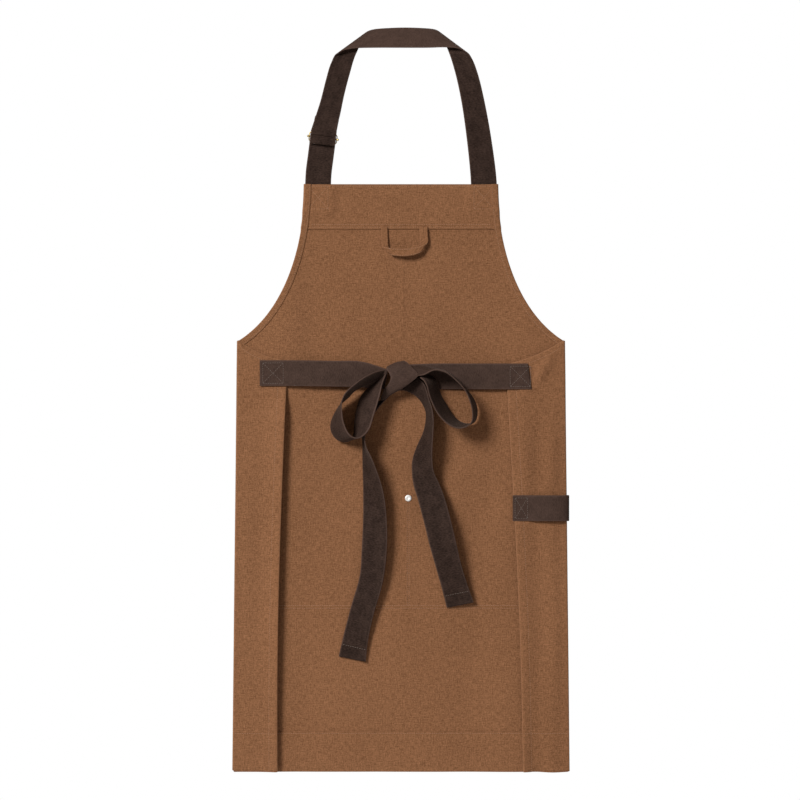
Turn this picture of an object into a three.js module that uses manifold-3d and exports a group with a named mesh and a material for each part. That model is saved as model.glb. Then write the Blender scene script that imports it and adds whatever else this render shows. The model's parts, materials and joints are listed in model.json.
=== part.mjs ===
// Butcher apron hanging by its neck band, with its skirt sides folded in and its waist ties in a bow.
// Millimetres, +Z up. The wearer's side faces -Y, and "depth" is the distance towards -Y.
// The origin is the middle of the neck band's lower edge.
import * as THREE from 'three';
import { mergeVertices } from 'three/addons/utils/BufferGeometryUtils.js';
import Module from 'manifold-3d';

// ---- Driving dimensions ----
const cloth = 1.0; // canvas thickness
const webbing = { width: 38, thickness: 1.6 };
const gap = 0.3; // clearance between pieces that touch on the real apron
const hingeGap = 1.0; // clearance between two pieces that bend against each other
const neckDrop = 208; // neck band's lower edge down to the bib's top edge
const bib = { width: 292, height: 238, armholeDrop: 92, armholeIn: 75, armholeUp: 46 };
const waistWidth = 499;
const hemWidth = 513;
const skirtHeight = 655;
const facingHeight = 68;
const facingEdge = { top: 8, slope: 2, side: 1 };
const armholeHem = 8.5;
const sideHem = 12;
const bottomHem = 60;
const strapInset = 20; // bib corner in to the middle of each neck strap end
const strapSewn = 40; // neck strap length caught under the facing
const wings = {
  left: { side: -1, topWidth: 75, hemWidth: 71, drop: 32, bowIn: 32, bowDown: 24, tieDrop: 49 },
  right: { side: 1, topWidth: 89, hemWidth: 73, drop: 37, bowIn: 38, bowDown: 24, tieDrop: 54 },
};
const wingOpens = 25; // degrees that the slack in the bow lets the left wing open
const tieSewn = 39;
// The pocket's divider is a flat seam, and its cloth rises over a ramp beside each seam to its full bulge.
const pocket = { width: 400, height: 182, drop: 227, shift: 11, bulge: 11, hem: 25, divider: 12, ramp: 25 };
const rivet = { head: 10, headHeight: 1.5, shank: 3, clearance: 0.3, down: 12 };
const sideLoop = {
  drop: 254, sewn: 24, bulge: 7, standOff: 2.6, frontSewn: 24, frontInset: 5,
  leaves: { run: 5, rise: 0.5 }, shoulder: { in: 8, down: 1.5 }, frontShoulder: { in: 6, rise: 1.2 },
  backTurn: 50, frontTurns: [-65, -35, -3],
};
const slide = { side: 2.4, depth: 3.4, height: 17, play: 0.6, bar: 2, ball: 4.4, tilt: 7.3 };
const slidePlace = { x: -118.4, down: 137.6 };
const anchorFlap = 5.3; // length of the anchor's folded end below the slide's bar
const freeEnd = { above: 32, below: 40 }; // neck strap's free end, above and below the slide's bar
const knot = { x: 0, depth: 9, down: 503, width: 30, thickness: 11, height: 28 };

// ---- Layers through the thickness, each a depth at which a piece starts ----
const bodyBack = -(webbing.thickness / 2 + gap);
const bodyFront = bodyBack - cloth;
const hemDepth = bodyBack + gap;
const wingHemDepth = hemDepth + cloth + gap;
const wingDepth = wingHemDepth + cloth + gap;
const tieDepth = wingDepth + cloth + gap;
const facingDepth = webbing.thickness / 2 + gap;
const rimDepth = facingDepth + cloth + gap; // armhole hem where it lies over the facing
const tieMiddle = tieDepth + webbing.thickness / 2;

// ---- Levels and the fold along each skirt side ----
const bibTop = -neckDrop;
const waist = bibTop - bib.height;
const hem = waist - skirtHeight;
const foldRadius = (wingDepth + cloth - bodyFront) / 2;
const foldDepth = (wingDepth + cloth + bodyFront) / 2;
const foldSlope = (hemWidth - waistWidth) / 2 / skirtHeight;
const foldX = (z) => waistWidth / 2 + foldSlope * (waist - z);
const foldAxisX = (z) => foldX(z) - foldRadius;
const panelX = (z) => foldAxisX(z) - gap;

const wasm = await Module();
wasm.setup();

// ---- Solids ----
function toManifold(geometry) {
  const bare = new THREE.BufferGeometry();
  bare.setAttribute('position', geometry.getAttribute('position').clone());
  bare.setIndex(geometry.getIndex());
  const merged = mergeVertices(bare, 1e-4);
  const vertProperties = new Float32Array(merged.getAttribute('position').array);
  const triVerts = new Uint32Array(merged.getIndex().array);
  return new wasm.Manifold(new wasm.Mesh({ numProp: 3, vertProperties, triVerts }));
}

function toGeometry(manifold) {
  const { vertProperties, triVerts } = manifold.getMesh();
  const geometry = new THREE.BufferGeometry();
  geometry.setAttribute('position', new THREE.BufferAttribute(vertProperties, 3));
  geometry.setIndex(new THREE.BufferAttribute(triVerts, 1));
  geometry.computeVertexNormals();
  return geometry;
}

const joined = (...pieces) => toGeometry(pieces.map(toManifold).reduce((a, b) => a.add(b)));
const cutBy = (piece, tool) => toGeometry(toManifold(piece).subtract(toManifold(tool)));
const common = (a, b) => toGeometry(toManifold(a).intersect(toManifold(b)));

function mirroredX(geometry) {
  const mirrored = geometry.getIndex() ? geometry.clone() : mergeVertices(geometry);
  mirrored.scale(-1, 1, 1);
  mirrored.setIndex(Array.from(mirrored.getIndex().array).reverse());
  return mirrored;
}

// A flat piece cut to an outline of x and z, from one depth through a thickness.
function slab(outline, depth, thickness) {
  const options = { depth: thickness, bevelEnabled: false, curveSegments: 14 };
  return new THREE.ExtrudeGeometry(outline, options).rotateX(Math.PI / 2).translate(0, -depth, 0);
}

// A profile of depth and z, run along X from one x to another.
function alongX(profile, fromX, toX) {
  const basis = new THREE.Matrix4().makeBasis(
    new THREE.Vector3(0, -1, 0),
    new THREE.Vector3(0, 0, 1),
    new THREE.Vector3(-1, 0, 0),
  );
  const geometry = new THREE.ExtrudeGeometry(profile, { depth: toX - fromX, bevelEnabled: false });
  return geometry.applyMatrix4(basis).translate(toX, 0, 0);
}

const toPoint2 = ([x, y]) => new THREE.Vector2(x, y);
const polygon = (points) => new THREE.Shape(points.map(toPoint2));
const box = (width, depth, height) => new THREE.BoxGeometry(width, depth, height);
const toPoint = ([x, depth, z]) => new THREE.Vector3(x, -depth, z);

function stripSection(edges, t, thickness) {
  const [a, b] = edges.map((edge) => edge.getPoint(t));
  const along = edges[0].getTangent(t).add(edges[1].getTangent(t));
  const off = along.cross(b.clone().sub(a)).setLength(thickness / 2);
  return [a.clone().add(off), a.clone().sub(off), b.clone().sub(off), b.clone().add(off)];
}

function stripFaces(sections) {
  const faces = [0, 2, 1, 0, 3, 2];
  for (let ring = 0; ring < sections - 1; ring += 1) {
    for (let corner = 0; corner < 4; corner += 1) {
      const a = ring * 4 + corner;
      const b = ring * 4 + ((corner + 1) % 4);
      faces.push(a, b, b + 4, a, b + 4, a + 4);
    }
  }
  const last = (sections - 1) * 4;
  faces.push(last, last + 1, last + 2, last, last + 2, last + 3);
  return faces;
}

// A strip of webbing or cloth between two edges, each a list of [x, depth, z] points it passes through.
function strip(edgeA, edgeB, thickness, stepsPerPoint = 3) {
  const edges = [edgeA, edgeB].map((edge) => new THREE.CatmullRomCurve3(edge.map(toPoint)));
  const steps = (edgeA.length - 1) * stepsPerPoint;
  const corners = [];
  for (let step = 0; step <= steps; step += 1) {
    corners.push(...stripSection(edges, step / steps, thickness));
  }
  const geometry = new THREE.BufferGeometry().setFromPoints(corners);
  geometry.setIndex(stripFaces(steps + 1));
  geometry.computeVertexNormals();
  return geometry;
}

// The faces of a closed plate whose inner and then outer points run by row and column.
function plateFaces(rows, columns) {
  const at = (side, row, column) => (side * rows + row) * columns + column;
  const faces = [];
  const quad = (a, b, c, d) => faces.push(a, b, c, a, c, d);
  const [top, right] = [rows - 1, columns - 1];
  for (let r = 0; r < top; r += 1) {
    for (let c = 0; c < right; c += 1) {
      quad(at(0, r, c), at(0, r, c + 1), at(0, r + 1, c + 1), at(0, r + 1, c));
      quad(at(1, r, c), at(1, r + 1, c), at(1, r + 1, c + 1), at(1, r, c + 1));
    }
    quad(at(0, r, 0), at(0, r + 1, 0), at(1, r + 1, 0), at(1, r, 0));
    quad(at(0, r, right), at(1, r, right), at(1, r + 1, right), at(0, r + 1, right));
  }
  for (let c = 0; c < right; c += 1) {
    quad(at(0, 0, c), at(1, 0, c), at(1, 0, c + 1), at(0, 0, c + 1));
    quad(at(0, top, c), at(0, top, c + 1), at(1, top, c + 1), at(1, top, c));
  }
  return faces;
}

// A plate of cloth over a grid of x stops and levels, both rising, with its inner face at a y of x and z.
function plate(stops, levels, innerY) {
  const points = [];
  for (const rise of [0, cloth]) {
    for (const z of levels) {
      for (const x of stops) points.push(new THREE.Vector3(x, innerY(x, z) + rise, z));
    }
  }
  const geometry = new THREE.BufferGeometry().setFromPoints(points);
  geometry.setIndex(plateFaces(levels.length, stops.length));
  return geometry;
}

// ---- Materials ----
const finish = (color, roughness, metalness = 0) =>
  new THREE.MeshStandardMaterial({ color, roughness, metalness });
const canvasColour = 0x875e42;
const webbingColour = 0x43332c;
const canvasFinish = () => finish(canvasColour, 0.9);
const webbingFinish = () => finish(webbingColour, 0.8);
const brassFinish = () => finish(0xb08d4a, 0.35, 1);
const nickelFinish = () => finish(0xe6e2dc, 0.3, 1);

const apron = new THREE.Group();
function add(name, geometry, material) {
  const mesh = new THREE.Mesh(geometry, material);
  mesh.name = name;
  apron.add(mesh);
}

// ---- Body panel, facing and hems ----
const armholeHandles = () => [
  new THREE.Vector2(bib.width / 2, bibTop),
  new THREE.Vector2(bib.width / 2 + 1, bibTop - bib.armholeDrop),
  new THREE.Vector2(waistWidth / 2 - bib.armholeIn, waist + bib.armholeUp),
  new THREE.Vector2(panelX(waist), waist),
];
const armhole = new THREE.CubicBezierCurve(...armholeHandles());

function bodyOutline() {
  const edge = armhole.getPoints(18);
  const right = [...edge, new THREE.Vector2(panelX(hem), hem)];
  const left = right.map((p) => new THREE.Vector2(-p.x, p.y)).reverse();
  return new THREE.Shape([...right, ...left]);
}

const rivetX = pocket.shift;
const pocketTop = waist - pocket.drop;
const rivetZ = pocketTop - rivet.down;

// A round tool or pin along Y, from one depth to another, on the rivet's axis.
function rivetRod(radius, fromDepth, toDepth) {
  const rod = new THREE.CylinderGeometry(radius, radius, toDepth - fromDepth, 20);
  return rod.translate(rivetX, -(fromDepth + toDepth) / 2, rivetZ);
}
const rivetHole = () => rivetRod(rivet.shank / 2 + rivet.clearance, -20, 20);

// The facing lies over the strap ends and steps down to its stitched lower edge.
function bibFacing() {
  const back = facingDepth + cloth;
  const edgeBack = hemDepth + cloth;
  const low = bibTop - facingHeight;
  const profile = polygon([
    [back, bibTop],
    [back, low + facingEdge.top - 1],
    [edgeBack, low + facingEdge.top - facingEdge.slope - 1],
    [edgeBack, low],
    [hemDepth, low],
    [hemDepth, low + facingEdge.top - facingEdge.slope],
    [facingDepth, low + facingEdge.top],
    [facingDepth, bibTop],
  ]);
  const half = bib.width / 2 - facingEdge.side;
  return alongX(profile, -half, half);
}

// The armhole hem follows the edge, over the facing at the top and on the body panel below it.
function armholeHemStrip(side) {
  const outer = [];
  const inner = [];
  const stations = 14;
  for (let i = 0; i <= stations; i += 1) {
    const t = i / stations;
    const edge = armhole.getPoint(t);
    const tangent = armhole.getTangent(t);
    const overFacing = edge.y > bibTop - facingHeight - armholeHem;
    const depth = (overFacing ? rimDepth : hemDepth) + cloth / 2;
    const inward = (distance) => {
      const x = side * (edge.x + tangent.y * distance);
      return [x, depth, edge.y - tangent.x * distance];
    };
    outer.push(inward(gap));
    inner.push(inward(armholeHem));
  }
  return side > 0 ? strip(inner, outer, cloth, 2) : strip(outer, inner, cloth, 2);
}

function addBody() {
  add('body_panel', cutBy(slab(bodyOutline(), bodyFront, cloth), rivetHole()), canvasFinish());
  add('bib_facing', bibFacing(), canvasFinish());
  add('armhole_hem_left', armholeHemStrip(-1), canvasFinish());
  add('armhole_hem_right', armholeHemStrip(1), canvasFinish());
  const top = hem + bottomHem;
  const corners = [[-panelX(hem), hem], [panelX(hem), hem], [panelX(top), top], [-panelX(top), top]];
  add('bottom_hem', slab(polygon(corners), hemDepth, cloth), canvasFinish());
}

// ---- Wings: the skirt sides folded over the back ----
const wingInnerX = (wing, z) => {
  const top = foldX(waist) - wing.topWidth;
  const bottom = foldX(hem) - wing.hemWidth;
  return top + ((waist - z) / skirtHeight) * (bottom - top);
};

function wingTopCurve(wing) {
  return new THREE.QuadraticBezierCurve(
    new THREE.Vector2(foldX(waist), waist),
    new THREE.Vector2(foldX(waist) - wing.bowIn, waist - wing.bowDown),
    new THREE.Vector2(wingInnerX(wing, waist - wing.drop), waist - wing.drop),
  );
}

function wingOutline(wing) {
  const beyond = foldX(hem) + 1;
  const corner = new THREE.Vector2(wingInnerX(wing, hem), hem);
  return new THREE.Shape([
    new THREE.Vector2(beyond, waist),
    ...wingTopCurve(wing).getPoints(8),
    corner,
    new THREE.Vector2(beyond, hem),
  ]);
}

// The wing's section: a flat web and a roll round the fold, which stops short so that the wing can open.
function wingSection(reach) {
  const inner = foldRadius - cloth;
  const end = THREE.MathUtils.degToRad(wingOpens + 3 - 90);
  const shape = new THREE.Shape();
  shape.moveTo(-reach, inner);
  shape.lineTo(0, inner);
  shape.absarc(0, 0, inner, Math.PI / 2, end, true);
  shape.absarc(0, 0, foldRadius, end, Math.PI / 2, false);
  shape.lineTo(-reach, foldRadius);
  return shape;
}

function wingPanel(wing) {
  const options = { depth: skirtHeight + 2, bevelEnabled: false, curveSegments: 8 };
  const folded = new THREE.ExtrudeGeometry(wingSection(wing.topWidth + wing.drop), options);
  const basis = new THREE.Matrix4().makeBasis(
    new THREE.Vector3(1, 0, 0),
    new THREE.Vector3(0, -1, 0),
    new THREE.Vector3(0, 0, -1),
  );
  folded.applyMatrix4(basis).translate(foldAxisX(waist), -foldDepth, waist + 1);
  const position = folded.getAttribute('position');
  for (let i = 0; i < position.count; i += 1) {
    position.setX(i, position.getX(i) + foldSlope * (waist - position.getZ(i)));
  }
  const reach = 2 * foldRadius;
  return common(folded, slab(wingOutline(wing), -reach, 2 * reach + foldDepth));
}

function wingSideHem(wing) {
  const top = waist - wing.drop - armholeHem - 2 * gap;
  const low = hem + bottomHem + gap;
  const inner = (z) => wingInnerX(wing, z) + gap;
  const outline = polygon([
    [inner(low), low],
    [inner(low) + sideHem, low],
    [inner(top) + sideHem, top],
    [inner(top), top],
  ]);
  return slab(outline, wingHemDepth, cloth);
}

function wingTopHem(wing) {
  const edge = wingTopCurve(wing).getPoints(10).filter((p) => p.x < foldAxisX(waist) - gap);
  const lowered = (drop) => edge.map((p) => new THREE.Vector2(p.x, p.y - drop));
  const outline = new THREE.Shape([...lowered(gap), ...lowered(armholeHem).reverse()]);
  return slab(outline, wingHemDepth, cloth);
}

function wingBottomHem(wing) {
  const top = hem + bottomHem;
  const outline = polygon([
    [wingInnerX(wing, hem) + gap, hem],
    [panelX(hem), hem],
    [panelX(top), top],
    [wingInnerX(wing, top) + gap, top],
  ]);
  return slab(outline, wingHemDepth, cloth);
}

// Where each tie leaves its wing: the tie bends here.
const tieLevel = (wing) => waist - wing.tieDrop;
const tieHingeX = (wing) => wingInnerX(wing, tieLevel(wing)) - 1;

function tieEnd(wing) {
  const start = tieHingeX(wing) + hingeGap / 2;
  const end = box(tieSewn, webbing.thickness, webbing.width);
  return end.translate(start + tieSewn / 2, -tieMiddle, tieLevel(wing));
}

function addWing(name, wing) {
  const placed = (geometry) => (wing.side > 0 ? geometry : mirroredX(geometry));
  add(`wing_panel_${name}`, placed(wingPanel(wing)), canvasFinish());
  add(`wing_side_hem_${name}`, placed(wingSideHem(wing)), canvasFinish());
  add(`wing_top_hem_${name}`, placed(wingTopHem(wing)), canvasFinish());
  add(`wing_bottom_hem_${name}`, placed(wingBottomHem(wing)), canvasFinish());
  add(`tie_end_${name}`, placed(tieEnd(wing)), webbingFinish());
}

// ---- Front pocket with two compartments, and the rivet at the top of its divider ----
function pocketBulge(x, z) {
  const fromMiddle = Math.abs(x - pocket.shift);
  const fromSeam = Math.min(pocket.width / 2 - fromMiddle, fromMiddle - pocket.divider / 2);
  const across = Math.min(1, Math.max(0, fromSeam / pocket.ramp));
  const up = (z - (pocketTop - pocket.height)) / (pocket.height - pocket.hem);
  return pocket.bulge * across * Math.min(1, up);
}

// A band of the pocket with rows of points at the given levels, lowest first, and its inner face at a depth.
function pocketBand(levels, depth) {
  const half = pocket.width / 2;
  const middle = pocket.divider / 2;
  const rightStops = [middle, middle + pocket.ramp, half - pocket.ramp, half];
  const fromMiddle = [...rightStops.map((stop) => -stop).reverse(), ...rightStops];
  const stops = fromMiddle.map((stop) => stop + pocket.shift);
  const band = plate(stops, levels, (x, z) => pocketBulge(x, z) - depth);
  return cutBy(band, rivetHole());
}

const pocketDepth = bodyFront - gap;
const pocketHemDepth = pocketDepth - cloth - gap;

function rivetHead(depth, towards) {
  const r = rivet.head / 2;
  const h = rivet.headHeight;
  const profile = [[0, 0], [r, 0], [r, h * 0.4], [r * 0.7, h * 0.9], [0, h]];
  const head = new THREE.LatheGeometry(profile.map(([x, y]) => new THREE.Vector2(x, y)), 24);
  if (towards < 0) head.rotateX(Math.PI);
  return head.translate(rivetX, -depth, rivetZ);
}

function addPocket() {
  const hemLow = pocketTop - pocket.hem;
  const panelLevels = [pocketTop - pocket.height, hemLow, pocketTop];
  add('pocket_panel', pocketBand(panelLevels, pocketDepth), canvasFinish());
  add('pocket_hem', pocketBand([hemLow, pocketTop], pocketHemDepth), canvasFinish());
  const frontDepth = pocketHemDepth - cloth - gap;
  const backDepth = bodyBack + gap;
  const shank = rivetRod(rivet.shank / 2, frontDepth - rivet.headHeight / 2, backDepth - gap);
  add('rivet_cap', joined(rivetHead(frontDepth, 1), shank), nickelFinish());
  add('rivet_back', rivetHead(backDepth, -1), nickelFinish());
}

// ---- Side loop: webbing sewn to the right wing and, round the fold, to the front ----
const loopMiddle = waist - sideLoop.drop;

// A side loop piece from a route of [x, depth] points, as wide as the webbing.
function loopStrip(route) {
  const half = webbing.width / 2;
  const lower = route.map(([x, depth]) => [x, depth, loopMiddle - half]);
  const upper = route.map(([x, depth]) => [x, depth, loopMiddle + half]);
  return strip(lower, upper, webbing.thickness, 2);
}

function roundFold(degrees) {
  const angle = THREE.MathUtils.degToRad(degrees);
  const reach = foldRadius + sideLoop.standOff + gap;
  return [foldAxisX(loopMiddle) + reach * Math.cos(angle), foldDepth + reach * Math.sin(angle)];
}

function addSideLoop() {
  const start = wingInnerX(wings.right, loopMiddle) + gap;
  const sewnTo = start + sideLoop.sewn;
  const fold = foldX(loopMiddle);
  const crest = tieMiddle + sideLoop.bulge;
  const { leaves, shoulder, frontShoulder } = sideLoop;
  const back = [[start, tieMiddle], [sewnTo, tieMiddle], [sewnTo + leaves.run, tieMiddle + leaves.rise]];
  back.push([(sewnTo + fold) / 2, crest], [fold - shoulder.in, crest - shoulder.down]);
  back.push(roundFold(sideLoop.backTurn), roundFold(wingOpens));
  add('side_loop_back', loopStrip(back), webbingFinish());
  const front = bodyFront - gap - webbing.thickness / 2;
  const frontEnd = pocket.shift + pocket.width / 2 + sideLoop.frontInset;
  const route = [[frontEnd, front], [frontEnd + sideLoop.frontSewn, front]];
  route.push([fold - frontShoulder.in, front - frontShoulder.rise], ...sideLoop.frontTurns.map(roundFold));
  add('side_loop_front', loopStrip(route), webbingFinish());
}

// ---- Hang loop: a narrow strip of canvas caught under the facing ----
const hangTop = bibTop - facingHeight - gap;
const hangLoop = {
  outer: [[-29, 1, 0], [-29, 2, -16], [-27, 5, -29], [-20, 7, -38], [1, 8, -41], [22, 8, -39], [33, 6, -29],
    [38, 3, -19], [40, 1, 0]],
  inner: [[-21, 1, 0], [-21, 2, -14], [-20, 2, -23], [-14, 2, -29], [4, 2, -31], [21, 2, -29], [27, 2, -25],
    [28, 2, -16], [28, 1, 0]],
};

function addHangLoop() {
  const lowered = (edge) => edge.map(([x, depth, z]) => [x, depth, z + hangTop]);
  add('hang_loop', strip(lowered(hangLoop.outer), lowered(hangLoop.inner), cloth, 3), canvasFinish());
}

// ---- Neck strap, its anchor, free end and slide ----
const strapX = bib.width / 2 - strapInset;
const strapLow = bibTop + hingeGap;

function neckStrap() {
  const half = webbing.width / 2;
  const rightOuter = [[105, -2, -12], [114, 1, -32], [126, 0, -80], [138, 0, -147],
    [strapX + half, 0, strapLow]];
  const rightInner = [[57, -22, 25], [78, -10, -22], [91, -1, -74], [101, 0, -142],
    [strapX - half, 0, strapLow]];
  const leftOuter = [[-101, -2, -12], [-108, 1, -33], [-122, 0, -82], [-131, 0, -110], [-136, 5.6, -126],
    [-136.6, 5.6, -130]];
  const leftInner = [[-52, -22, 24], [-73, -10, -24], [-87, 0, -73], [-94, 0, -106], [-98, 5.6, -130.6],
    [-98.9, 5.6, -135]];
  const bandLower = [[-88, 0.8, -3], [-40, 0.8, 0], [0, 0.8, 0], [40, 0.8, 0], [89, 0.8, 1]];
  const bandUpper = [[-54, -23, 24], [-30, -24, 28], [2, -24, 29.5], [32, -24, 28.5], [58, -23, 25]];
  const strips = [[rightOuter, rightInner], [leftOuter, leftInner], [bandLower, bandUpper]];
  return joined(...strips.map(([a, b]) => strip(a, b, webbing.thickness, 3)));
}

// A point in the slide's own frame: across the webbing, depth, and up along it.
function inSlide([across, depth, up]) {
  const angle = THREE.MathUtils.degToRad(slide.tilt);
  const x = slidePlace.x + across * Math.cos(angle) + up * Math.sin(angle);
  const z = -slidePlace.down - across * Math.sin(angle) + up * Math.cos(angle);
  return [x, depth, z];
}

const slideDepth = webbing.thickness / 2 + gap + slide.depth / 2;

// A strip whose middle follows a route of [depth, up] points in the slide's frame.
function slideStrip(route, edgeOf) {
  const half = webbing.width / 2;
  const left = route.map(([depth, up]) => inSlide([-half, depth, up]));
  const right = route.map(([depth, up]) => inSlide([half, depth, up]));
  if (edgeOf) edgeOf(left, right);
  return strip(left, right, webbing.thickness, 3);
}

// The anchor rises from the bib, turns over the slide's bar towards the wearer and ends in a short flap.
function strapAnchor() {
  const half = webbing.width / 2;
  const rise = [[0, -45], [0, -20], [0, 0]];
  const turn = [30, 60, 90, 120, 150].map((degrees) => {
    const angle = THREE.MathUtils.degToRad(degrees);
    return [slideDepth - slideDepth * Math.cos(angle), slideDepth * Math.sin(angle)];
  });
  const flap = [[2 * slideDepth, 0], [2 * slideDepth, -anchorFlap]];
  const route = [...rise, ...turn, ...flap];
  return slideStrip(route, (left, right) => {
    left.unshift([-strapX - half, 0, strapLow]);
    right.unshift([-strapX + half, 0, strapLow]);
  });
}

function strapTail() {
  const depth = -(webbing.thickness + 3 * gap);
  const { above, below } = freeEnd;
  return slideStrip([[depth, above], [depth, above / 3], [depth, -below / 3], [depth, -below]]);
}

function placeInSlide(geometry) {
  const angle = THREE.MathUtils.degToRad(slide.tilt);
  return geometry.rotateY(angle).translate(slidePlace.x, -slideDepth, -slidePlace.down);
}

function slideBarBore(radius, length) {
  return new THREE.CylinderGeometry(radius, radius, length, 16).rotateZ(Math.PI / 2);
}

const slideWidth = webbing.width + 2 * slide.play + 2 * slide.side;

function slideFrame() {
  const corners = (w, h) => [[-w, -h], [w, -h], [w, h], [-w, h]];
  const ring = polygon(corners(slideWidth / 2, slide.height / 2));
  const hole = corners(slideWidth / 2 - slide.side, slide.height / 2 - slide.side);
  ring.holes.push(new THREE.Path(hole.reverse().map(toPoint2)));
  const frame = slab(ring, -slide.depth / 2, slide.depth);
  return placeInSlide(cutBy(frame, slideBarBore(slide.bar / 2 + gap, slideWidth + 2)));
}

function slideBar() {
  const reach = slideWidth / 2 + gap + slide.ball / 2;
  const ball = (side) => new THREE.SphereGeometry(slide.ball / 2, 14, 10).translate(side * reach, 0, 0);
  return placeInSlide(joined(slideBarBore(slide.bar / 2, 2 * reach), ball(-1), ball(1)));
}

function addStraps() {
  add('neck_strap', neckStrap(), webbingFinish());
  add('strap_anchor', strapAnchor(), webbingFinish());
  add('strap_tail', strapTail(), webbingFinish());
  add('slide_frame', slideFrame(), brassFinish());
  add('slide_bar', slideBar(), brassFinish());
  const low = bibTop - hingeGap / 2;
  for (const [name, side] of [['left', -1], ['right', 1]]) {
    const end = box(webbing.width, webbing.thickness, strapSewn);
    add(`strap_end_${name}`, end.translate(side * strapX, 0, low - strapSewn / 2), webbingFinish());
  }
}

// ---- Waist ties: free lengths, knot, bow loops and tails ----
// Each ribbon has a near and a far edge, the far one closer to the apron, chosen along its run.
const bowLoops = {
  left: {
    near: [[-25, 19, -491], [-37, 30, -493], [-52, 39, -500], [-63, 42, -507], [-73, 42, -515],
      [-84, 42, -525], [-90, 41, -540], [-89, 39, -553], [-88, 37, -565], [-85, 36, -575],
      [-79, 37, -587], [-68, 38, -594], [-58, 37, -591], [-48, 33, -580], [-43, 31, -564],
      [-37, 30, -545], [-32, 31, -528], [-29, 29, -513], [-23, 19, -497]],
    far: [[-27, 9, -497], [-42, 9, -508], [-58, 9, -515], [-71, 8, -522], [-79, 7, -531], [-87, 5, -538],
      [-94, 4, -545], [-102, 4, -559], [-107, 4, -572], [-106, 4, -584], [-96, 3, -597], [-78, 2, -599],
      [-71, 2, -586], [-71, 3, -574], [-69, 4, -559], [-66, 6, -544], [-60, 6, -529], [-50, 8, -518],
      [-33, 9, -507]],
  },
  right: {
    near: [[24, 21, -499], [35, 32, -498], [45, 41, -492], [53, 45, -490], [68, 46, -494], [83, 46, -506],
      [96, 45, -520], [104, 42, -537], [108, 39, -554], [106, 38, -571], [87, 38, -579], [69, 37, -571],
      [55, 37, -556], [47, 37, -540], [42, 37, -527], [40, 36, -517], [35, 31, -506], [29, 24, -502]],
    far: [[14, 9, -485], [26, 9, -483], [40, 9, -485], [53, 9, -488], [68, 9, -492], [84, 9, -503],
      [99, 8, -519], [112, 6, -537], [116, 4, -554], [111, 3, -571], [91, 3, -570], [79, 3, -559],
      [71, 4, -546], [63, 4, -533], [59, 5, -524], [56, 8, -511], [52, 9, -502], [43, 9, -497]],
  },
};
const tails = {
  left: {
    upper: [[[-29, 3, -534], [-46, 2, -548], [-62, 1, -568], [-58, 1, -598], [-58, 1, -627], [-57, 1, -671],
      [-57, 1, -716.5]],
    [[-14, 7, -525], [-30, 13, -542], [-47, 20, -565], [-55, 30, -598], [-43, 31, -627], [-28, 23, -671],
      [-22, 16, -716.5]]],
    lower: [[[-57, 1, -717.5], [-59, 3, -761], [-62, 3, -803], [-75, 2, -849], [-87, 1, -895],
      [-94, 1, -925]],
    [[-22, 16, -717.5], [-22, 14, -765], [-28, 11, -812], [-42, 8, -861], [-51, 4, -904],
      [-54, 2, -933]]],
  },
  right: {
    upper: [[[2, 6, -520], [18, 5, -526], [30, 3, -537], [38, 1, -553], [38, 1, -568], [34, 1, -586],
      [25, 1, -605], [18, 1, -625], [17, 3, -642], [19, 6, -661.5]],
    [[25, 9, -502], [36, 13, -513], [41, 22, -531], [47, 29, -549], [49, 32, -568], [48, 33, -589],
      [47, 30, -609], [47, 25, -625], [49, 20, -644], [56, 13, -658.5]]],
    lower: [[[19, 6, -662.5], [27, 10, -689], [36, 12, -723], [44, 12, -756], [54, 9, -791], [63, 4, -823],
      [70, 1, -851]],
    [[56, 13, -659.5], [65, 15, -682], [74, 20, -714], [82, 20, -747], [90, 14, -782], [100, 7, -815],
      [110, 3, -843]]],
  },
};
const knotWrap = [
  [[-17, 6, -484], [-21, 13, -488], [-17, 18, -495], [-15, 20, -502], [-18, 20, -511], [-24, 18, -518],
    [-28, 15, -527], [-31, 11, -535]],
  [[2, 6, -480], [7, 14, -482], [15, 20, -489], [24, 23, -498], [18, 23, -508], [5, 21, -518],
    [-11, 16, -526], [-28, 11, -536]],
];

// A tie's free length: a route of [x, depth, middle z] points from the wing to the knot.
function tieStrand(route) {
  const half = webbing.width / 2;
  const shifted = (offset) => route.map(([x, depth, z]) => [x, depth, z + offset]);
  return strip(shifted(-half), shifted(half), webbing.thickness, 3);
}

function addTies() {
  const startLeft = -tieHingeX(wings.left) + hingeGap / 2;
  const startRight = tieHingeX(wings.right) - hingeGap / 2;
  const levelLeft = tieLevel(wings.left);
  const levelRight = tieLevel(wings.right);
  const left = [[startLeft, tieMiddle, levelLeft], [-100, 5, levelLeft - 1], [-50, 6, levelLeft - 3],
    [-25, 6.5, levelLeft - 5]];
  const right = [[startRight, tieMiddle, levelRight], [100, 3.6, levelRight], [50, 1.6, levelRight],
    [20, 0.6, levelRight - 1], [-10, 0.6, levelRight - 2]];
  add('tie_strand_left', tieStrand(left), webbingFinish());
  add('tie_strand_right', tieStrand(right), webbingFinish());
  const core = new THREE.SphereGeometry(0.5, 18, 12).scale(knot.width, knot.thickness, knot.height);
  add('knot_core', core.translate(knot.x, -knot.depth, -knot.down), webbingFinish());
  add('knot_wrap', strip(...knotWrap, webbing.thickness, 3), webbingFinish());
  for (const [name, loop] of Object.entries(bowLoops)) {
    add(`bow_loop_${name}`, strip(loop.near, loop.far, webbing.thickness, 3), webbingFinish());
  }
  for (const [name, tail] of Object.entries(tails)) {
    add(`tail_upper_${name}`, strip(...tail.upper, webbing.thickness, 3), webbingFinish());
    add(`tail_lower_${name}`, strip(...tail.lower, webbing.thickness, 3), webbingFinish());
  }
}

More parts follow.
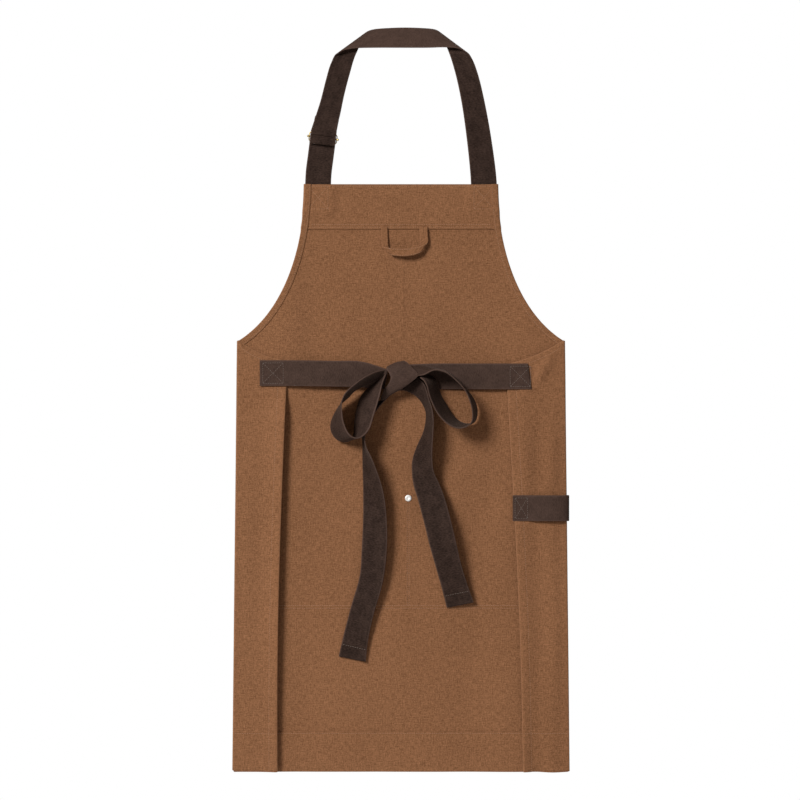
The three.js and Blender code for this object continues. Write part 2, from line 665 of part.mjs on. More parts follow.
addStraps();
addBody();
addWing('left', wings.left);
addWing('right', wings.right);
addPocket();
addSideLoop();
addHangLoop();
addTies();

export default apron;
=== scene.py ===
import json
import math

import bpy
import numpy as np
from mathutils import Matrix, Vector, noise


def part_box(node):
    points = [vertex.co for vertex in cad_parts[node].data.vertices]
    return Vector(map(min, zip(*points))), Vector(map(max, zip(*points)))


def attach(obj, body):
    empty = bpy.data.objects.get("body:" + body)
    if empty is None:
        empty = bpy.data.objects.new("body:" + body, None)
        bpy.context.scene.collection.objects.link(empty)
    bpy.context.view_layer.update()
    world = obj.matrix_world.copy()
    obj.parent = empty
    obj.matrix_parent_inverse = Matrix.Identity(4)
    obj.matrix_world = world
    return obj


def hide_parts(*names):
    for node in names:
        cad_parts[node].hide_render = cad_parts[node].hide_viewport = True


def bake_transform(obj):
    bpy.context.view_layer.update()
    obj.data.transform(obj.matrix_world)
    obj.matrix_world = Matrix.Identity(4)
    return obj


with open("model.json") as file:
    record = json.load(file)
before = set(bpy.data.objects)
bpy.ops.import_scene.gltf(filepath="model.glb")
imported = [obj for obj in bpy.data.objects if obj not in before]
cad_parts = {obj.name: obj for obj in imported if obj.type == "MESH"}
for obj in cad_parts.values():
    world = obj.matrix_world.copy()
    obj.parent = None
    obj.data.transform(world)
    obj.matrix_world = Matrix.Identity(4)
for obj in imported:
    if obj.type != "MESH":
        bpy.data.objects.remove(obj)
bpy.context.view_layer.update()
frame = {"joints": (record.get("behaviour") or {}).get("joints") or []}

# A butcher apron seen from the wearer's side. "Depth" is the distance towards -Y, where the wearer stands.
MM = 0.001
CLOTH = 0.95 * MM  # the canvas's thickness
WEBBING = 1.6 * MM  # the webbing's thickness
WEBBING_WIDTH = 38 * MM
ARMHOLE_HEM = 8.5 * MM
SIDE_HEM = 12 * MM
BOTTOM_HEM = 60 * MM
HEM_ROLL = 2 * MM  # the cloth that a hem's rolled edge takes
POCKET_HEM = 25 * MM
SEAM_IN = 1.8 * MM  # from a narrow hem's inner edge to its row of stitches
EDGE_INSET = 0.8 * MM  # the rolled edge of a hem stands this much proud of the panel inside it
LAYER = 1.3 * MM  # one cloth layer and the air on it


# ---- Places read from the frame ----
def middle(node):
    """The middle of a node's box, as x, y and z."""
    return [(low + high) / 2 for low, high in zip(*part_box(node))]


def back_depth(node):
    """The middle of the cloth layer that forms a node's face on the wearer's side."""
    return -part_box(node)[0].y - CLOTH / 2


def joint_named(name):
    return next(j for j in frame["joints"] if j["name"] == name)


BODY_MID = -middle("body_panel")[1]
HEM_MID = -middle("bottom_hem")[1]
TIE_MID = -middle("tie_end_left")[1]
WING_MID = back_depth("wing_panel_left")
FACING_MID = back_depth("bib_facing")
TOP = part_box("body_panel")[1].z
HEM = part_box("body_panel")[0].z
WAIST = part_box("wing_panel_left")[1].z
BIB_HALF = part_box("bib_facing")[1].x + 1 * MM
FACING_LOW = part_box("bib_facing")[0].z
STRAP_X = middle("strap_end_right")[0]
STRAP_END_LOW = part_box("strap_end_right")[0].z

FOLD = joint_named("right_wing_fold")
FOLD_DEPTH = -FOLD["pos_m"][1]
FOLD_SLOPE = -FOLD["axis"][0] / FOLD["axis"][2]
FOLD_RADIUS = WING_MID - FOLD_DEPTH


def fold_x(z):
    return FOLD["pos_m"][0] + FOLD_SLOPE * (WAIST - z)


RIVET_X, _, RIVET_Z = middle("rivet_cap")
POCKET_LOW, POCKET_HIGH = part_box("pocket_panel")
LOOP_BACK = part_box("side_loop_back")
LOOP_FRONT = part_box("side_loop_front")
LOOP_Z = middle("side_loop_back")[2]
TIE_LEVEL = {name: middle(f"tie_end_{name}")[2] for name in ("left", "right")}

# Each wing's width at its top and hem, the drop of its inner corner, where its top edge bows down, how far
# its loose edge lifts, the height of its soft folds, and the place in the noise that it reads.
WINGS = {
    "left": {"side": -1, "top": 75 * MM, "hem": 71 * MM, "drop": 32 * MM, "bow_in": 32 * MM,
             "lift": 11 * MM, "fold_height": 0.7 * MM, "seed": 31.0},
    "right": {"side": 1, "top": 89 * MM, "hem": 73 * MM, "drop": 37 * MM, "bow_in": 38 * MM,
              "lift": 2.6 * MM, "fold_height": 1.9 * MM, "seed": 47.0},
}
BOW_DOWN = 24 * MM  # how far the wing's top edge bows down between the fold and its inner corner
WING_FOLD_X = 188 * MM  # from the apron's middle to a wing's first soft fold
WING_FOLD_PITCH = 42 * MM  # between the soft upright folds that a hanging wing makes
TIE_SEWN_X = 214 * MM  # from the apron's middle to a sewn tie end's outer edge
SEWN_PARTS_X = 130 * MM  # the ties and the side loop hold the cloth from here outwards
WING_SWAY = 4.8 * MM  # a wing's inner edge curves this far out towards the fold halfway down
FOLD_OUT = FOLD_RADIUS + CLOTH / 2  # from the fold's axis out to the cloth's outer face


# ---- Mesh making ----
def numbers(points):
    return np.array(points, float)


def unit(vectors):
    length = np.linalg.norm(vectors, axis=-1, keepdims=True)
    return vectors / np.maximum(length, 1e-12)


def grid_normals(grid):
    along, across = np.gradient(grid, axis=0), np.gradient(grid, axis=1)
    return unit(np.cross(along, across))


def mesh_object(name, points, faces, material, uv=None, wear_and_highlight=None):
    mesh = bpy.data.meshes.new(name)
    mesh.from_pydata(points.tolist(), [], faces.tolist())
    if uv is not None:
        layer = mesh.uv_layers.new(name="cloth")
        corners = np.zeros(len(mesh.loops), np.int32)
        mesh.loops.foreach_get("vertex_index", corners)
        layer.data.foreach_set("uv", uv[corners].astype(np.float32).ravel())
    # A per-point paleness for the shaders: partly edge wear, partly painted highlight and painted light.
    if wear_and_highlight is not None:
        attribute = mesh.attributes.new("wear_and_highlight", "FLOAT", "POINT")
        attribute.data.foreach_set("value", wear_and_highlight.astype(np.float32))
    mesh.polygons.foreach_set("use_smooth", [True] * len(mesh.polygons))
    mesh.update()
    mesh.materials.append(material)
    obj = bpy.data.objects.new(name, mesh)
    bpy.context.scene.collection.objects.link(obj)
    return obj


def rim_indices(rows, columns):
    """The grid's border points in order, once round."""
    top = [(0, c) for c in range(columns)]
    right = [(r, columns - 1) for r in range(1, rows)]
    bottom = [(rows - 1, c) for c in range(columns - 2, -1, -1)]
    left = [(r, 0) for r in range(rows - 2, 0, -1)]
    return numbers(top + right + bottom + left).astype(int)


def quads_between(first, second):
    """Faces between two closed rings of point numbers."""
    return np.stack([first, np.roll(first, -1), np.roll(second, -1), second], axis=1)


def pipe_faces(rings, sides, closed=False):
    """Faces that join each ring of points to the next, and the last to the first in a closed pipe."""
    index = np.arange(rings * sides).reshape(rings, sides)
    joins = range(rings if closed else rings - 1)
    return np.concatenate([quads_between(index[k], index[(k + 1) % rings]) for k in joins])


def shell(name, grid, uv, thickness, material, wear_and_highlight=None):
    """A closed cloth body with rounded edges round a grid of points, which is its middle surface."""
    rows, columns = grid.shape[:2]
    normal = grid_normals(grid)
    top = grid + normal * thickness / 2
    bottom = grid - normal * thickness / 2
    rim = rim_indices(rows, columns)
    inner_row = np.clip(rim[:, 0], 1, rows - 2)
    inner_column = np.clip(rim[:, 1], 1, columns - 2)
    outward = unit(grid[rim[:, 0], rim[:, 1]] - grid[inner_row, inner_column])
    edge = grid[rim[:, 0], rim[:, 1]] + outward * thickness * 0.42
    points = np.concatenate([top.reshape(-1, 3), bottom.reshape(-1, 3), edge])
    index = np.arange(rows * columns).reshape(rows, columns)
    a, b, c, d = index[:-1, :-1], index[1:, :-1], index[1:, 1:], index[:-1, 1:]
    top_faces = np.stack([a, b, c, d], axis=-1).reshape(-1, 4)
    bottom_faces = top_faces[:, ::-1] + rows * columns
    top_ring = index[rim[:, 0], rim[:, 1]]
    bottom_ring = top_ring + rows * columns
    edge_ring = np.arange(len(rim)) + 2 * rows * columns
    faces = [top_faces, bottom_faces, quads_between(top_ring, edge_ring),
             quads_between(edge_ring, bottom_ring)]
    flat_uv = uv.reshape(-1, 2)
    worn_and_lit = np.zeros(rows * columns) if wear_and_highlight is None else wear_and_highlight.reshape(-1)
    all_uv = np.concatenate([flat_uv, flat_uv, flat_uv[top_ring]])
    # The rounded rim is at least this pale: edge wear and a painted highlight where light catches the edge.
    all_worn_and_lit = np.concatenate([worn_and_lit, worn_and_lit, np.maximum(worn_and_lit[top_ring], 0.6)])
    return mesh_object(name, points, np.concatenate(faces), material, all_uv, all_worn_and_lit)


def at_depth(x, depth, z):
    return np.stack([x, -depth, z], axis=-1)


# ---- How the cloth hangs: slow folds, finer ones, and the lines that sewing draws in ----
def field(x, z, across, along, seed):
    """Smooth noise between about -1 and 1, with its sizes across X and along Z."""
    flat = [noise.noise(Vector((a / across, b / along, seed))) for a, b in zip(x.ravel(), z.ravel())]
    return numbers(flat).reshape(x.shape)


def bump(distance, width):
    return np.exp(-((distance / width) ** 2))


def smooth_step(value):
    t = np.clip(value, 0, 1)
    return t * t * (3 - 2 * t)


def held_flat(x, z):
    """1 where the strap ends, ties, side loop and rivet hold the cloth in place, and 0 away from them."""
    strap_ends = 1 - smooth_step((TOP - z) / 0.10)
    ties = bump(z - TIE_LEVEL["left"], 32 * MM) * smooth_step((np.abs(x) - SEWN_PARTS_X) / (30 * MM))
    loop = bump(z - LOOP_Z, 28 * MM) * smooth_step((x - SEWN_PARTS_X) / (30 * MM))
    rivet = bump(np.hypot(x - RIVET_X, z - RIVET_Z), 22 * MM)
    return np.maximum.reduce([strap_ends, ties, loop, rivet])


def ripple(x, z):
    """How far the whole hanging cloth stands towards the wearer, which is never more than a little."""
    slow = 2.6 * MM * field(x, z, 0.16, 0.33, 3.1)
    folds = 3.0 * MM * field(x, z, 0.055, 0.20, 8.4)
    fine = 0.12 * MM * field(x, z, 0.014, 0.016, 12.7)
    crease = 0.35 * MM * bump(x - 3 * MM, 2.5 * MM) * smooth_step((z - WAIST + 0.02) / 0.06)
    crease = crease * smooth_step((FACING_LOW - z) / (20 * MM))
    return (np.minimum(slow + folds - 1.6 * MM, 0.2 * MM) + fine + crease) * (1 - held_flat(x, z))


def body_depth(x, z):
    hem_seam = bump(z - (HEM + BOTTOM_HEM), 1.3 * MM)
    pocket_seam = bump(z - POCKET_LOW.z, 1.3 * MM) * (np.abs(x - RIVET_X) < 0.2)
    divider = bump(x - RIVET_X, 1.3 * MM) * (z < RIVET_Z) * (z > POCKET_LOW.z)
    return plain_depth(x, z) - 0.25 * MM * (hem_seam + pocket_seam + divider)


def over_strap(x, z):
    """1 on the facing where a strap end lies under it, and 0 away from it."""
    beside = (np.abs(np.abs(x) - STRAP_X) - WEBBING_WIDTH / 2) / (14 * MM)
    below = (STRAP_END_LOW - z) / (14 * MM)
    return (1 - smooth_step(beside)) * (1 - smooth_step(below))


def facing_depth(x, z):
    lower_row = bump(z - (FACING_LOW + 4 * MM), 1.2 * MM)
    relaxed = HEM_MID + 0.25 * MM * field(x, z, 0.03, 0.03, 5.5)
    return relaxed + (FACING_MID - HEM_MID) * over_strap(x, z) + ripple(x, z) - 0.25 * MM * lower_row


def plain_depth(x, z):
    """The body without the dents that its seams make."""
    return BODY_MID + ripple(x, z)


def rim_depth(x, z):
    """Middle of the armhole hem, which lies on the facing at the top and on the body below it."""
    on_facing = smooth_step((z - FACING_LOW + 3 * MM) / (5 * MM))
    raised = facing_depth(x, np.maximum(z, FACING_LOW + 9 * MM)) + LAYER
    flat = HEM_MID + ripple(x, z)
    return flat + on_facing * (raised - flat)


def body_hem_depth(x, z):
    return HEM_MID + ripple(x, z)


# ---- Materials ----
class Graph:
    """A new material with one Principled shader, and short ways to add and join nodes in it."""

    def __init__(self, name):
        self.material = bpy.data.materials.new(name)
        self.material.use_nodes = True
        self.nodes, self.links = self.material.node_tree.nodes, self.material.node_tree.links
        self.nodes.clear()
        output = self.nodes.new("ShaderNodeOutputMaterial")
        self.shader = self.nodes.new("ShaderNodeBsdfPrincipled")
        self.links.new(self.shader.outputs["BSDF"], output.inputs["Surface"])

    def set(self, socket, value):
        if isinstance(value, bpy.types.NodeSocket):
            self.links.new(value, socket)
        else:
            socket.default_value = value

    def finish(self, **sockets):
        """Join or set the shader's sockets, each named in lower case with _ for a space."""
        for socket in self.shader.inputs:
            key = socket.name.lower().replace(" ", "_")
            if key in sockets:
                self.set(socket, sockets.pop(key))
        assert not sockets, sockets
        return self.material

    def math(self, operation, a, b=0.0, c=0.0):
        node = self.nodes.new("ShaderNodeMath")
        node.operation = operation
        for socket, value in zip(node.inputs, (a, b, c)):
            self.set(socket, value)
        return node.outputs[0]

    def total(self, start, *parts):
        """The start plus each part's value times its share."""
        for value, share in parts:
            start = self.math("MULTIPLY_ADD", value, share, start)
        return start

    def noise(self, vector, scale, detail=2.0, rough=0.5):
        node = self.nodes.new("ShaderNodeTexNoise")
        self.set(node.inputs["Vector"], vector)
        node.inputs["Scale"].default_value = scale
        node.inputs["Detail"].default_value = detail
        node.inputs["Roughness"].default_value = rough
        return node.outputs["Fac"]

    def stretched(self, vector, scale):
        node = self.nodes.new("ShaderNodeMapping")
        self.set(node.inputs["Vector"], vector)
        node.inputs["Scale"].default_value = scale
        return node.outputs[0]

    def place(self, space):
        return self.nodes.new("ShaderNodeTexCoord").outputs[space]

    def split(self, vector):
        node = self.nodes.new("ShaderNodeSeparateXYZ")
        self.set(node.inputs[0], vector)
        return node.outputs[0], node.outputs[1]

    # The per-point paleness: edge wear on the canvas, and painted highlight on edges and on webbing that
    # lies across.
    def wear_and_highlight(self):
        node = self.nodes.new("ShaderNodeAttribute")
        node.attribute_name = "wear_and_highlight"
        return node.outputs["Fac"]

    def mix(self, factor, a, b):
        node = self.nodes.new("ShaderNodeMix")
        node.data_type = "RGBA"
        for k, value in ((0, factor), (6, a), (7, b)):
            self.set(node.inputs[k], value)
        return node.outputs[2]

    def bump(self, height, distance, strength):
        node = self.nodes.new("ShaderNodeBump")
        self.set(node.inputs["Height"], height)
        node.inputs["Distance"].default_value = distance
        node.inputs["Strength"].default_value = strength
        return node.outputs["Normal"]

    def waves(self, place, pitch):
        return self.math("SINE", self.math("MULTIPLY", place, 2 * math.pi / pitch))


def colour(r, g, b):
    return (r, g, b, 1.0)


CANVAS = (0.240, 0.111, 0.0520)


def canvas_tone(*shares):
    """The canvas colour with each of its parts made darker or paler."""
    return colour(*(part * share for part, share in zip(CANVAS, shares)))


def canvas_material():
    """Plain-weave cotton canvas: threads both ways, slubs, slow mottling, and edges made paler for wear and
    as a painted highlight where light catches them.
    """
    graph = Graph("canvas")
    pitch = 0.8 * MM
    uv = graph.place("UV")
    x, z = graph.split(uv)
    warp = graph.noise(graph.stretched(uv, (620, 120, 1)), 1.0, 3.0, 0.6)
    weft = graph.noise(graph.stretched(uv, (120, 620, 1)), 1.0, 3.0, 0.6)
    flecks = graph.noise(uv, 520.0, 2.0, 0.6)
    mottle = graph.noise(uv, 42.0, 3.0, 0.55)
    broad = graph.noise(uv, 6.0, 1.0)
    threads = graph.math("MULTIPLY", graph.waves(x, pitch), graph.waves(z, pitch))
    tone = graph.total(-1.75, (warp, 1.3), (weft, 1.3), (flecks, 1.5), (mottle, 0.20), (broad, 0.20),
                       (threads, 0.05))
    base = graph.mix(tone, canvas_tone(0.60, 0.56, 0.52), canvas_tone(1.40, 1.42, 1.46))
    # Pale edges: edge wear, and a painted highlight where light catches rolled edges and folds.
    base = graph.mix(graph.math("MULTIPLY", graph.wear_and_highlight(), 0.65), base, canvas_tone(1.75, 1.9, 2.1))
    height = graph.total(0.0, (threads, 0.5), (warp, 1.0), (weft, 1.0))
    return graph.finish(base_color=base, normal=graph.bump(height, 0.16 * MM, 0.8), roughness=0.93,
                        specular_ior_level=0.08, sheen_weight=0.05, sheen_roughness=0.55,
                        sheen_tint=colour(0.9, 0.62, 0.42))


def webbing_material(name, base, pale):
    """Ribbed cotton webbing: fine herringbone ribs, a painted highlight along the firm selvages and a little
    fuzz.
    """
    graph = Graph(name)
    half = WEBBING_WIDTH / 2
    selvage_width = 1.6 * MM
    uv = graph.place("UV")
    across, along = graph.split(uv)
    from_middle = graph.math("ABSOLUTE", graph.math("SUBTRACT", across, half))
    column = graph.math("PINGPONG", across, WEBBING_WIDTH / 8)
    ribs = graph.waves(graph.math("ADD", along, column), 1.5 * MM)
    cross_ribs = graph.waves(along, 0.9 * MM)
    fuzz = graph.noise(graph.stretched(uv, (260, 700, 1)), 1.0, 3.0, 0.6)
    mottle = graph.noise(uv, 60.0, 2.0)
    past_edge = graph.math("MAXIMUM", graph.math("SUBTRACT", from_middle, half - selvage_width), 0.0)
    selvage_highlight = graph.math("SMOOTH_MIN", graph.math("MULTIPLY", past_edge, 1 / (1.2 * MM)), 1.0, 0.1)
    # The selvages and the per-point paleness lift the tone: painted highlight along the edges, painted light
    # on lengths that lie across.
    tone = graph.total(-0.66, (fuzz, 1.3), (mottle, 0.6), (ribs, 0.10), (cross_ribs, 0.05), (selvage_highlight, 0.45),
                       (graph.wear_and_highlight(), 0.50))
    height = graph.total(0.0, (ribs, 0.5), (cross_ribs, 0.25), (fuzz, 1.0))
    return graph.finish(base_color=graph.mix(tone, base, pale), normal=graph.bump(height, 0.14 * MM, 0.8),
                        roughness=0.78, specular_ior_level=0.14, sheen_weight=0.08, sheen_roughness=0.4,
                        sheen_tint=colour(0.85, 0.68, 0.58))


def metal_material(name, base, dull, roughness, metallic=1.0):
    """Tumbled metal: fine scratches in its gloss and a slightly duller tone in patches."""
    graph = Graph(name)
    place = graph.place("Object")
    patches = graph.noise(place, 260.0, 3.0, 0.6)
    scratches = graph.noise(graph.stretched(place, (3000, 400, 900)), 1.0, 2.0)
    return graph.finish(base_color=graph.mix(patches, base, dull), metallic=metallic,
                        roughness=graph.total(roughness - 0.08, (patches, 0.22)),
                        normal=graph.bump(scratches, 0.02 * MM, 0.5))


def thread_material(name, base, pale):
    """Twisted sewing thread: short slanted strands."""
    graph = Graph(name)
    strands = graph.noise(graph.stretched(graph.place("Object"), (2500, 900, 2500)), 1.0, 2.0)
    return graph.finish(base_color=graph.mix(strands, base, pale), roughness=0.7, sheen_weight=0.2,
                        normal=graph.bump(strands, 0.1 * MM, 0.6))


CANVAS_CLOTH = canvas_material()
STRAP = webbing_material("webbing", colour(0.009, 0.0032, 0.0012), colour(0.085, 0.050, 0.038))
BRASS = metal_material("brass", colour(0.66, 0.50, 0.20), colour(0.45, 0.33, 0.12), 0.36)
NICKEL = metal_material("nickel", colour(0.96, 0.95, 0.93), colour(0.86, 0.85, 0.83), 0.40, 0.35)
CANVAS_THREAD = thread_material("canvas_thread", colour(0.26, 0.124, 0.060), colour(0.44, 0.235, 0.124))
STRAP_THREAD = thread_material("strap_thread", colour(0.080, 0.057, 0.046), colour(0.220, 0.165, 0.135))


def canvas_piece(obj, body, *nodes):
    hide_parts(*nodes)
    if body:
        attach(obj, body)
    return obj


# ---- Stitches: each is a small raised thread, and all on one body and thread are one piece ----
STITCH_PITCH = 3.4 * MM
TIE_BOX = 31 * MM
STITCH_HALF = 1.25 * MM
STITCH_RADIUS = 0.30 * MM
stitch_frames = {}


def add_stitches(body, thread, path, normals):
    """Stitches along a path of points, each lying on the surface whose normal is given."""
    steps = np.linalg.norm(np.diff(path, axis=0), axis=1)
    run = np.concatenate([[0], np.cumsum(steps)])
    count = int(run[-1] / STITCH_PITCH)
    if count < 1:
        return
    centres = (np.arange(count) + 0.5) * run[-1] / count

    def read(values, offset=0.0):
        return np.stack([np.interp(centres + offset, run, values[:, k]) for k in range(3)], axis=1)

    ahead = unit(read(path, 0.5 * MM) - read(path, -0.5 * MM))
    stitch_frames.setdefault((body, thread), []).append((read(path), ahead, unit(read(normals))))


def stitch_shape():
    """One stitch as points of (along, across, up) and its faces."""
    stations = [(-1.0, 0.35), (-0.75, 0.85), (0.0, 1.0), (0.75, 0.85), (1.0, 0.35)]
    sides = 6
    points = []
    for along, girth in stations:
        lift = 0.35 * (1 - along * along)
        for side in range(sides):
            angle = 2 * math.pi * side / sides
            points.append((along * STITCH_HALF, girth * math.cos(angle) * STITCH_RADIUS,
                           (girth * math.sin(angle) + lift) * STITCH_RADIUS))
    last = (len(stations) - 1) * sides
    caps = [(0, 5, 4, 3), (0, 3, 2, 1), (last, last + 1, last + 2, last + 3),
            (last, last + 3, last + 4, last + 5)]
    return numbers(points), np.concatenate([pipe_faces(len(stations), sides), caps])


def make_stitches():
    shape, faces = stitch_shape()
    threads = {"canvas": CANVAS_THREAD, "webbing": STRAP_THREAD}
    for (body, thread), frames in stitch_frames.items():
        place, ahead, up = (np.concatenate([f[k] for f in frames]) for k in range(3))
        side = unit(np.cross(up, ahead))
        points = place[:, None] + sum(shape[None, :, k:k + 1] * way[:, None]
                                      for k, way in enumerate((ahead, side, up)))
        all_faces = faces[None] + (np.arange(len(place)) * len(shape))[:, None, None]
        obj = mesh_object(f"stitches_{body}_{thread}", points.reshape(-1, 3), all_faces.reshape(-1, 4),
                          threads[thread])
        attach(obj, body)


def stitch_on(body, x, z, depth, face, thread="canvas", thickness=CLOTH):
    """Stitches over points of a layer of known middle depth. Face 1 is the wearer's side, -1 the front."""
    path = at_depth(x, depth + face * thickness / 2, z)
    normals = np.tile([0.0, -float(face), 0.0], (len(x), 1))
    add_stitches(body, thread, path, normals)


def sewn_through(x, z, near, far):
    """A row of stitches that shows on both faces of the apron."""
    stitch_on("apron", x, z, near, 1)
    stitch_on("apron", x, z, far, -1)


def spaced(start, end, step=4 * MM):
    return np.linspace(start, end, max(2, int(abs(end - start) / step)))


# ---- The body panel and its hems ----
def armhole(count):
    """The right armhole's edge from the bib's corner down to the waist, and its unit direction inwards."""
    t = np.linspace(0, 1, count)[:, None]
    ends = numbers([(BIB_HALF, TOP), (BIB_HALF + 1 * MM, TOP - 92 * MM),
                    (fold_x(WAIST) + FOLD_OUT - 75 * MM, WAIST + 46 * MM), (fold_x(WAIST), WAIST)])
    a, b, c, d = ends
    point = a * (1 - t) ** 3 + 3 * b * t * (1 - t) ** 2 + 3 * c * t * t * (1 - t) + d * t ** 3
    tangent = unit(np.gradient(point, axis=0))
    inward = np.stack([tangent[:, 1], -tangent[:, 0]], axis=1)
    return point + inward * EDGE_INSET, inward


def with_lines(values, lines):
    """The values with close ones added round each sewn line, so that its dent has points to show it."""
    extra = [line + offset * MM for line in lines for offset in (-2.4, -1.2, -0.6, 0, 0.6, 1.2, 2.4)]
    low, high = min(values), max(values)
    return np.unique(np.round(np.concatenate([values, [e for e in extra if low < e < high]]), 6))


def body_panel():
    edge, _ = armhole(46)
    skirt = with_lines(spaced(WAIST - 4 * MM, HEM, 4.5 * MM), [HEM + BOTTOM_HEM, POCKET_LOW.z])[::-1]
    z = np.concatenate([edge[:, 1], skirt])
    half = np.concatenate([edge[:, 0], fold_x(skirt)])
    columns = with_lines(np.linspace(-half[-1], half[-1], 112), [RIVET_X, 3 * MM]) / half[-1]
    x_grid = half[:, None] * columns[None, :]
    z_grid = np.repeat(z[:, None], len(columns), axis=1)
    grid = at_depth(x_grid, body_depth(x_grid, z_grid), z_grid)
    uv = np.stack([x_grid, z_grid], axis=-1)
    obj = shell("canvas_body", grid, uv, CLOTH, CANVAS_CLOTH)
    canvas_piece(obj, "apron", "body_panel")


def hem(name, body, on, edge, inward, width, under, over, seams=()):
    """A hem folded over an edge: a roll from the panel's layer to the hem's, then the strip, sewn down."""
    roll = np.radians(np.linspace(-90, 90, 7))
    run = with_lines(np.linspace(0.8 * MM, width, max(4, int(width / (4 * MM)))), seams)
    run = run[run > 0.5 * MM]
    rows, columns = len(edge), len(roll) + len(run)
    place, uv, wear_and_highlight = np.zeros((rows, columns, 3)), np.zeros((rows, columns, 2)), np.zeros((rows, columns))
    length = np.concatenate([[0], np.cumsum(np.linalg.norm(np.diff(edge, axis=0), axis=1))])
    uv[..., 1] = length[:, None]
    deep, near = under(*edge.T), over(*edge.T)
    for c, angle in enumerate(roll):
        out = -np.abs(near - deep) / 2 * math.cos(angle)
        at = edge + inward * out[:, None]
        place[:, c] = at_depth(at[:, 0], (near + deep) / 2 + (near - deep) / 2 * math.sin(angle), at[:, 1])
        # The roll is marked palest at its outermost point: edge wear and a painted highlight where light
        # catches it.
        wear_and_highlight[:, c] = math.cos(angle)
        uv[:, c, 0] = c * 0.3 * MM
    towards_body = np.sign(np.mean(near - deep))
    edge_tuck, seam_dent = 0.25 * MM, 0.22 * MM
    puckered = 0.10 * MM * (width < 0.03)
    for c, distance in enumerate(run, len(roll)):
        at = edge + inward * distance
        dent = sum(bump(distance - line, 1.2 * MM) for line in seams)
        tuck = smooth_step((distance - width + 1.6 * MM) / (1.6 * MM))
        pucker = puckered * field(at[:, 0], at[:, 1], 7 * MM, 7 * MM, 21.0)
        depth = over(*at.T) - towards_body * (seam_dent * dent + edge_tuck * tuck) + pucker
        place[:, c] = at_depth(at[:, 0], depth, at[:, 1])
        uv[:, c, 0] = HEM_ROLL + distance
    obj = shell(f"{name}_cloth", place, uv, CLOTH, CANVAS_CLOTH, wear_and_highlight)
    canvas_piece(obj, body, name)
    wide, long = HEM_ROLL + width, float(length[-1])
    max(wide, 10 * MM)


def armhole_hems():
    edge, inward = armhole(90)
    seam = ARMHOLE_HEM - SEAM_IN
    for side, name in ((-1, "left"), (1, "right")):
        mirror = numbers([side, 1])
        hem(f"armhole_hem_{name}", "apron", "canvas_body", edge * mirror, inward * mirror, ARMHOLE_HEM,
            plain_depth, rim_depth, [seam])
        x, z = ((edge + inward * seam) * mirror).T
        sewn_through(x, z, rim_depth(x, z) - 0.15 * MM, plain_depth(x, z))


def bottom_hem():
    half = fold_x(HEM) - EDGE_INSET
    x = spaced(-half, half, 5 * MM)
    edge = np.stack([x, np.full(len(x), HEM + EDGE_INSET)], axis=1)
    inward = np.tile([0.0, 1.0], (len(x), 1))
    hem("bottom_hem", "apron", "canvas_body", edge, inward, BOTTOM_HEM, plain_depth, body_hem_depth,
        [BOTTOM_HEM - 2 * MM])
    z = np.full(len(x), HEM + BOTTOM_HEM - 1.5 * MM)
    sewn_through(x, z, body_hem_depth(x, z) - 0.15 * MM, plain_depth(x, z))


def facing():
    half = BIB_HALF - 2 * MM
    x = spaced(-half, half, 2.5 * MM)
    z = with_lines(spaced(FACING_LOW, TOP - 0.5 * MM, 3 * MM), [FACING_LOW + 4 * MM])[::-1]
    x_grid, z_grid = np.meshgrid(x, z)
    grid = at_depth(x_grid, facing_depth(x_grid, z_grid), z_grid)
    obj = shell("bib_facing_cloth", grid, np.stack([x_grid, z_grid + 0.7], axis=-1), CLOTH, CANVAS_CLOTH)
    canvas_piece(obj, "apron", "bib_facing")
    inner = BIB_HALF - ARMHOLE_HEM - 1 * MM
    x = spaced(-inner, inner)
    sunk_in = 0.05 * MM
    for level, sunk in ((FACING_LOW + 3 * MM, sunk_in), (FACING_LOW + 7 * MM, sunk_in), (TOP - 3 * MM, 0.0)):
        z = np.full(len(x), level)
        sewn_through(x, z, facing_depth(x, z) - sunk, plain_depth(x, z))


def box_and_cross(centre_x, centre_z, width, height):
    """The lines of a sewn box with its two diagonals, each as x and z arrays."""
    left, right = centre_x - width / 2, centre_x + width / 2
    low, high = centre_z - height / 2, centre_z + height / 2
    corners = [(left, low), (right, low), (right, high), (left, high)]
    lines = [(corners[i], corners[(i + 1) % 4]) for i in range(4)]
    lines += [(corners[0], corners[2]), (corners[1], corners[3])]
    for (x0, z0), (x1, z1) in lines:
        count = max(3, int(math.hypot(x1 - x0, z1 - z0) / (2 * MM)))
        yield np.linspace(x0, x1, count), np.linspace(z0, z1, count)


def sewn_box(body, centre_x, centre_z, width, height, depth, face):
    """A box and cross of stitches through webbing whose middle depth is given."""
    for x, z in box_and_cross(centre_x, centre_z, width, height):
        stitch_on(body, x, z, np.full(len(x), depth), face, "webbing", WEBBING)


def strap_boxes():
    height = TOP - STRAP_END_LOW - 6 * MM
    for side in (-1, 1):
        for x, z in box_and_cross(side * STRAP_X, TOP - 3 * MM - height / 2, 30 * MM, height):
            sewn_through(x, z, facing_depth(x, z), plain_depth(x, z))


# ---- The wings: the skirt's sides, rolled over the fold and lying on the back ----
def wing_inner(wing, z):
    top = fold_x(WAIST) + FOLD_OUT - wing["top"]
    bottom = fold_x(HEM) + FOLD_OUT - wing["hem"]
    share = (WAIST - z) / (WAIST - HEM)
    sway = WING_SWAY * np.sin(math.pi * (share - 0.19) / 0.95)
    return top + share * (bottom - top) + sway + EDGE_INSET


def wing_lift(name, wing, u, z):
    """How far the wing's loose inner edge stands off the body. The tie pulls it flatter where it is sewn."""
    above_tie = z - TIE_LEVEL[name]
    below = smooth_step((-above_tie - 17 * MM) / (50 * MM))
    lower = 1 - 0.35 * smooth_step((-above_tie - 350 * MM) / (250 * MM))
    above = 0.15 * smooth_step((above_tie - 12 * MM) / (30 * MM))
    return wing["lift"] * np.clip(u, 0, 1) ** 3 * (above + below * lower)


